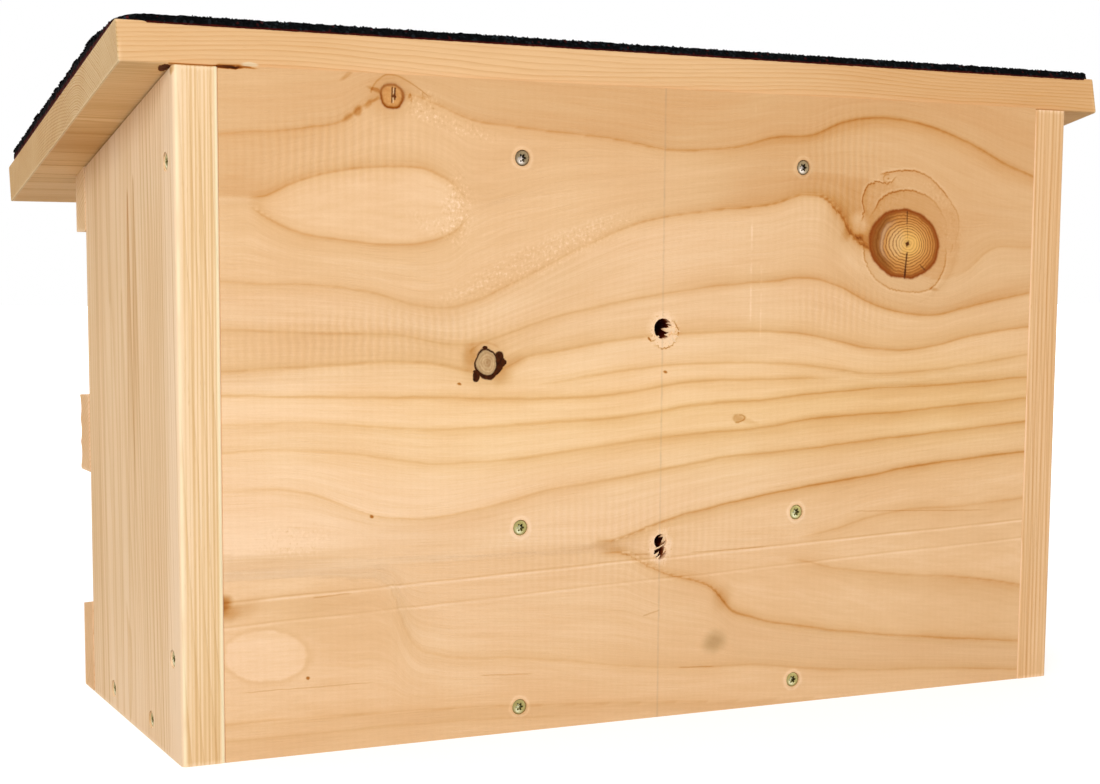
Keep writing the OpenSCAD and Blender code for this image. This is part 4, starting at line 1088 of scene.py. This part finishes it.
def makeFelt():
    # top: the plan's grid, each point moved up, down and sideways by seeded grains; edge: a quarter turn down from
    # the sheet's rim, in whole rings, then under to a flat back; along the back edge it hangs a little over the board.
    # Each ring: how far out, its share of the height, how rough, and how far it hangs
    rng = np.random.default_rng(felt["seed"])
    halfWide, halfDeep = roof["wide"] / 2 - felt["inset"], roof["deep"] / 2 - felt["inset"]
    roll, centre, top = felt["roll"], -roof["deep"] / 2, roof["thick"] + felt["thick"] - felt["sink"]
    nu, nw = int(2 * halfWide / felt["step"]), int(2 * halfDeep / felt["step"])
    u, w = np.meshgrid(np.linspace(roll - halfWide, halfWide - roll, nu),
                       np.linspace(roll - halfDeep, halfDeep - roll, nw), indexing="ij")
    u, w = feltPlan(u, w, halfWide - roll, halfDeep - roll, felt["corner"] - roll)
    grains = rng.uniform(-1, 1, u.shape)
    clumps = (grains + np.roll(grains, 1, 0) + np.roll(grains, 1, 1) + np.roll(grains, (1, 1), (0, 1))) / 2
    size = felt["grain"] + (felt["coarse"] - felt["grain"]) * np.clip((np.abs(u) - 225) / 30, 0, 1)
    calm = 1 - .85 * np.exp(-((u - halfWide) ** 2 + (w - halfDeep) ** 2) / 26 ** 2)
    height = top + np.minimum(.55 * grains + .45 * clumps - .35, .35) * size * calm
    height = height + edgeLip(u, w, halfWide, halfDeep)
    rim = np.concatenate([np.arange(nu) * nw, nw * (nu - 1) + np.arange(1, nw),
                          np.arange(nu - 2, -1, -1) * nw + nw - 1, np.arange(nw - 2, 0, -1)])
    ru, rw = u.ravel()[rim], w.ravel()[rim]
    du, dw = np.roll(ru, -1) - np.roll(ru, 1), np.roll(rw, -1) - np.roll(rw, 1)
    outU, outW = dw / np.hypot(du, dw), -du / np.hypot(du, dw)
    rough = rng.uniform(-1, 1, (5, len(rim))) * size.ravel()[rim] * calm.ravel()[rim]
    inside = np.zeros(u.shape, bool)
    inside[1:-1, 1:-1] = True
    u = u + rng.uniform(-.3, .3, u.shape) * felt["step"] * inside
    w = w + rng.uniform(-.3, .3, w.shape) * felt["step"] * inside
    lip = edgeLip(ru, rw, halfWide, halfDeep)
    points, faces, ring = [onRoof(u.ravel(), w.ravel() + centre, height.ravel())], [gridFaces(nu, nw)], rim
    drooping = np.clip(outW, 0, 1) ** 4
    for row, (out, share, wild, hang) in enumerate(felt["edge"]):
        reach = np.minimum(roll * out + rough[row] * wild * .8, roll + felt["inset"] - .05)
        reach = reach + (roll + felt["inset"] + .2 + rough[row] * wild * .3 - reach) * drooping * min(hang * 2, 1)
        level = (roof["thick"] + (top + lip - roof["thick"]) * share + rough[row - 4] * .6 * wild
                 - .25 * share * (hang < 1) - felt["droop"] * drooping * hang)
        points.append(onRoof(ru + outU * reach, rw + outW * reach + centre, level))
        nxt = nu * nw + row * len(rim) + np.arange(len(rim))
        faces.append(np.stack([ring, nxt, np.roll(nxt, -1), np.roll(ring, -1)], 1))
        ring = nxt
    return addMesh("roofFelt", np.concatenate(points), np.concatenate(faces).tolist() + [ring[::-1].tolist()],
                   70, ["roof_felt"])


def makeGrit():
    # slate crystals pressed into the sheet: each is an eight-sided double pyramid with its six corners pulled about
    # at random, turned at random and sunk by a third; more of them lie along the edges that are seen side on, with
    # coarser lumps along the raised left edge, as far as the falling roof leaves room above it
    rng = np.random.default_rng(felt["seed"] + 1)
    many, wide, deep = felt["crystals"], roof["wide"], roof["deep"]
    halfWide, halfDeep = wide / 2 - felt["inset"] - felt["margin"], deep / 2 - felt["inset"] - felt["margin"]
    u, w = rng.uniform(-1, 1, many) * halfWide, rng.uniform(-1, 1, many) * halfDeep
    lot = rng.uniform(0, 1, many)
    back, left, right = felt["backShare"], felt["leftShare"], felt["rightShare"]
    w = np.where(lot < back, halfDeep - rng.uniform(0, felt["strip"], many), w)
    u = np.where((lot > back) & (lot < left), halfWide - rng.uniform(0, felt["strip"], many), u)
    u = np.where((lot > left) & (lot < right), -halfWide + rng.uniform(0, felt["strip"], many), u)
    u, w = feltPlan(u, w, halfWide, halfDeep, felt["corner"] - felt["margin"])
    keep = np.hypot(u - halfWide, w - halfDeep) > 30
    u, w = u[keep], w[keep]
    many = len(u)
    corners = np.array([(1, 0, 0), (0, 1, 0), (-1, 0, 0), (0, -1, 0), (0, 0, 1), (0, 0, -1)], float)
    size = rng.uniform(*felt["crystalSize"], (many, 1, 1))
    size = size * np.where(u > halfWide - 2, .9 + 1.6 * rng.uniform(0, 1, many) ** 3, 1.0)[:, None, None]
    shape = corners[None] * size * rng.uniform(.65, 1.1, (many, 6, 1)) + rng.uniform(-.12, .12, (many, 6, 3))
    spin = rng.uniform(0, 2 * np.pi, (many, 1))
    ca, sa = np.cos(spin), np.sin(spin)
    x, y, z = shape[..., 0] * ca - shape[..., 1] * sa, shape[..., 0] * sa + shape[..., 1] * ca, shape[..., 2] * .8
    level = roof["thick"] + felt["thick"] - felt["sink"] + rng.uniform(-.45, .3, (many, 1))
    near = np.minimum(halfWide - np.abs(u), halfDeep - np.abs(w))[:, None]
    spare = np.clip((halfDeep - w) * .2 - .5, 0, 1.8) * np.exp(-((halfWide - u) / 4) ** 2)
    lip = edgeLip(u, w, halfWide, halfDeep)
    level = level - np.clip(1.4 - near, 0, 1.4) * rng.uniform(0, 1.0, (many, 1)) + lip[:, None]
    x, y = np.clip(u[:, None] + x, .05 - wide / 2, wide / 2 - .05), np.clip(w[:, None] + y - deep / 2, .05 - deep, -.05)
    points = onRoof(x, y, np.minimum(level + z, roof["thick"] + felt["thick"] - .02 + (lip + spare)[:, None]))
    one = np.array([(0, 1, 4), (1, 2, 4), (2, 3, 4), (3, 0, 4), (1, 0, 5), (2, 1, 5), (3, 2, 5), (0, 3, 5)])
    return addMesh("feltGrit", points.reshape(-1, 3), (np.arange(many)[:, None, None] * 6 + one[None]).reshape(-1, 3))


def feltMaterial(name, bare):
    # dark granules, a few bluish or red; where the level is below nought the sheet's cut edge shows, as bare tar
    material, tree, shader, (x, y, z) = newMaterial(name, .82, Specular_IOR_Level=0.02)
    along, depth, height = roofPlace(x, y, z)
    above = height - roof["thick"]
    shade, tint, lot = split(cells(scaled((x, y, z), 1.25), "Color"))
    patch = noise(scaled((x, y, z), 60.0), 3.0)
    fine = noise(scaled((x, y, z), .45), 2.0)
    level = above + noise(scaled((x, y, z), 5.0), 3.0) * 1.3 + depth.step(-1.4, -.4) * felt["droop"] * .9
    leftRim = along.step(258.5, 261.0)
    rusty = leftRim * (1.0 - (above + noise(scaled((x, y, z), 2.2), 2.0) * 5.0).step(1.6, 3.4)) * .85
    tar = (1.0 - (level - leftRim * .7).step(.1, 1.0)) * bare
    colour = mix((shade * .75 + patch * .7).step(.05, .95), paint(4, 4, 5), paint(27, 29, 31))
    for much, tone in ((tint.step(.88, .92) * .6, paint(52, 62, 68)), (lot.step(.965, .975) * .65, paint(96, 30, 30)),
                       (leftRim * .8, paint(6, 4, 5)), (depth.step(-1.6, -.4) * .65, paint(5, 6, 7)),
                       (tar.high(rusty), mix(fine + .5, paint(34, 4, 2), paint(92, 24, 12)))):
        colour = mix(much, colour, tone)
    away = cells(scaled((x, y, z), 1.25))
    finishShader(shader, colour, .88 - tar * .35 + fine * .1, (1.0 - away) * .6 + fine * .5, .0006, .8)
    return material


roofFelt, feltGrit = makeFelt(), makeGrit()
dress(roofFelt, feltMaterial("bitumenFelt", 1.0))
dress(feltGrit, feltMaterial("slateGrit", .3))
print("roof: felt with %d crystals" % (len(feltGrit.data.vertices) // 6))

# torn fibres in the drilled hanging holes, and chips raised round them, each with: start x and z, end x and z
# (mm), bow to the side, lift at its tip (in is negative) and width
slivers = np.array((
    (-4.9, 190.3, 1.8, 190.9, -.35, -1.5, 3.4), (-4.5, 188.9, -.2, 187.6, .4, -1.1, 1.7),
    (-4.0, 192.7, -.6, 193.6, .3, -.9, 1.0), (-4.4, 191.6, -1.4, 192.5, -.3, -.6, 1.4),
    (-1.2, 195.9, 2.6, 195.3, .8, -.8, .7), (-3.4, 187.3, -5.8, 184.4, .3, .3, 2.0),
    (-1.8, 186.5, -2.6, 183.6, .2, .3, 1.5), (.9, 186.2, 2.4, 184.0, .2, .3, 1.1),
    (3.6, 187.4, 5.4, 185.2, .3, .3, 1.0), (-4.4, 193.6, -6.6, 195.4, .2, .35, 1.1),
    (-4.9, 192.2, -7.8, 192.6, .3, .35, .9),
    (-5.0, 190.0, -8.2, 189.4, -.2, .35, 1.2), (-4.8, 188.4, -7.2, 186.8, .2, .35, 1.3),
    (6.6, 190.2, 7.6, 194.8, .4, .3, .8), (6.9, 192.6, 8.8, 196.0, -.3, .3, .6), (-2.4, 187.0, .4, 188.1, .3, -.7, 1.3),
    (5.2, 83.4, -2.4, 86.8, .35, -.3, .9), (-1.8, 90.2, -3.6, 94.6, .2, .3, 1.1),
    (-1.7, 89.6, -.1, 84.9, .3, -2.6, 2.4), (-1.2, 90.2, 1.4, 89.0, .3, -2.2, 1.5),
    (.4, 90.8, .9, 92.8, .1, .25, .8), (4.9, 87.6, 7.8, 88.6, .2, .3, .9),
    (5.0, 85.6, 7.9, 86.0, -.2, .3, .6), (4.6, 82.4, 7.4, 81.6, .2, .3, .8), (4.6, 80.4, 1.9, 82.4, .4, -.4, 1.7),
    (3.2, 79.1, 1.0, 80.6, .2, -.5, 1.2), (-1.9, 84.0, -1.0, 80.4, .3, -1.8, 1.5), (2.2, 78.6, 5.4, 77.4, .2, .2, .9),
    (-1.9, 80.9, -4.6, 79.6, .2, .3, 1.0), (-1.9, 86.4, -4.8, 87.4, .2, .3, 1.2)))
blade = {"along": 9, "around": 6, "taper": .6, "least": .02, "sunk": .22}


def makeSlivers():
    # a flat blade along each line: centre = start + t * (end - start) + bow * 4t(1 - t) sideways, width falling as
    # (1 - t)^0.6 to a point, and the tip lifted by t^2
    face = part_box("back_panel")[1].y / mm - panel["face"]
    ends, (bow, lift, wide) = slivers[:, :4], slivers[:, 4:].T[:, :, None]
    t, turn = np.linspace(0, 1, blade["along"])[None], np.linspace(0, 2 * np.pi, blade["around"], endpoint=False)
    run = ends[:, 2:] - ends[:, :2]
    side = np.stack([-run[:, 1], run[:, 0]], 1) / np.hypot(*run.T)[:, None]
    shift = bow * 4 * t * (1 - t) + .12 * np.sin(t * 19 + wide * 7)
    x, z = [ends[:, k, None] + run[:, k, None] * t + side[:, k, None] * shift for k in (0, 1)]
    half = wide / 2 * (1 - t) ** blade["taper"] + blade["least"]
    y = face - blade["sunk"] + lift * t ** 2
    rx, rz = [line[..., None] + side[:, k, None, None] * half[..., None] * np.cos(turn)
              for k, line in enumerate((x, z))]
    ry = np.minimum(y[..., None] + (half * .3 + .05)[..., None] * np.sin(turn), face + panel["face"] - .02)
    faces, each, ring = [], blade["along"] * blade["around"], blade["around"]
    for first in range(0, len(slivers) * each, each):
        faces += gridFaces(blade["along"], ring, first, True).tolist()
        faces += [list(range(first, first + ring))[::-1], list(range(first + each - ring, first + each))]
    piece = addMesh("tornFibres", np.stack([rx, ry, rz], -1).reshape(-1, 3), faces, 50)
    material, tree, shader, (x, y, z) = newMaterial("tornWood", .75)
    thread = noise(scaled((x, y, z), 1.5, 1.0, .5), 3.0)
    colour = mix(thread + .5, paint(226, 178, 122), paint(255, 226, 190))
    # painted shade: the fibres darken the deeper they lie in the hole
    colour = mix(1.0 - y.step(face - 2.2, face - .3), colour, paint(158, 118, 74), "MULTIPLY")
    finishShader(shader, colour, .75 + thread * .1, thread, .0003, .8)
    dress(piece, material)


makeSlivers()
print("hanging holes: torn fibres set")
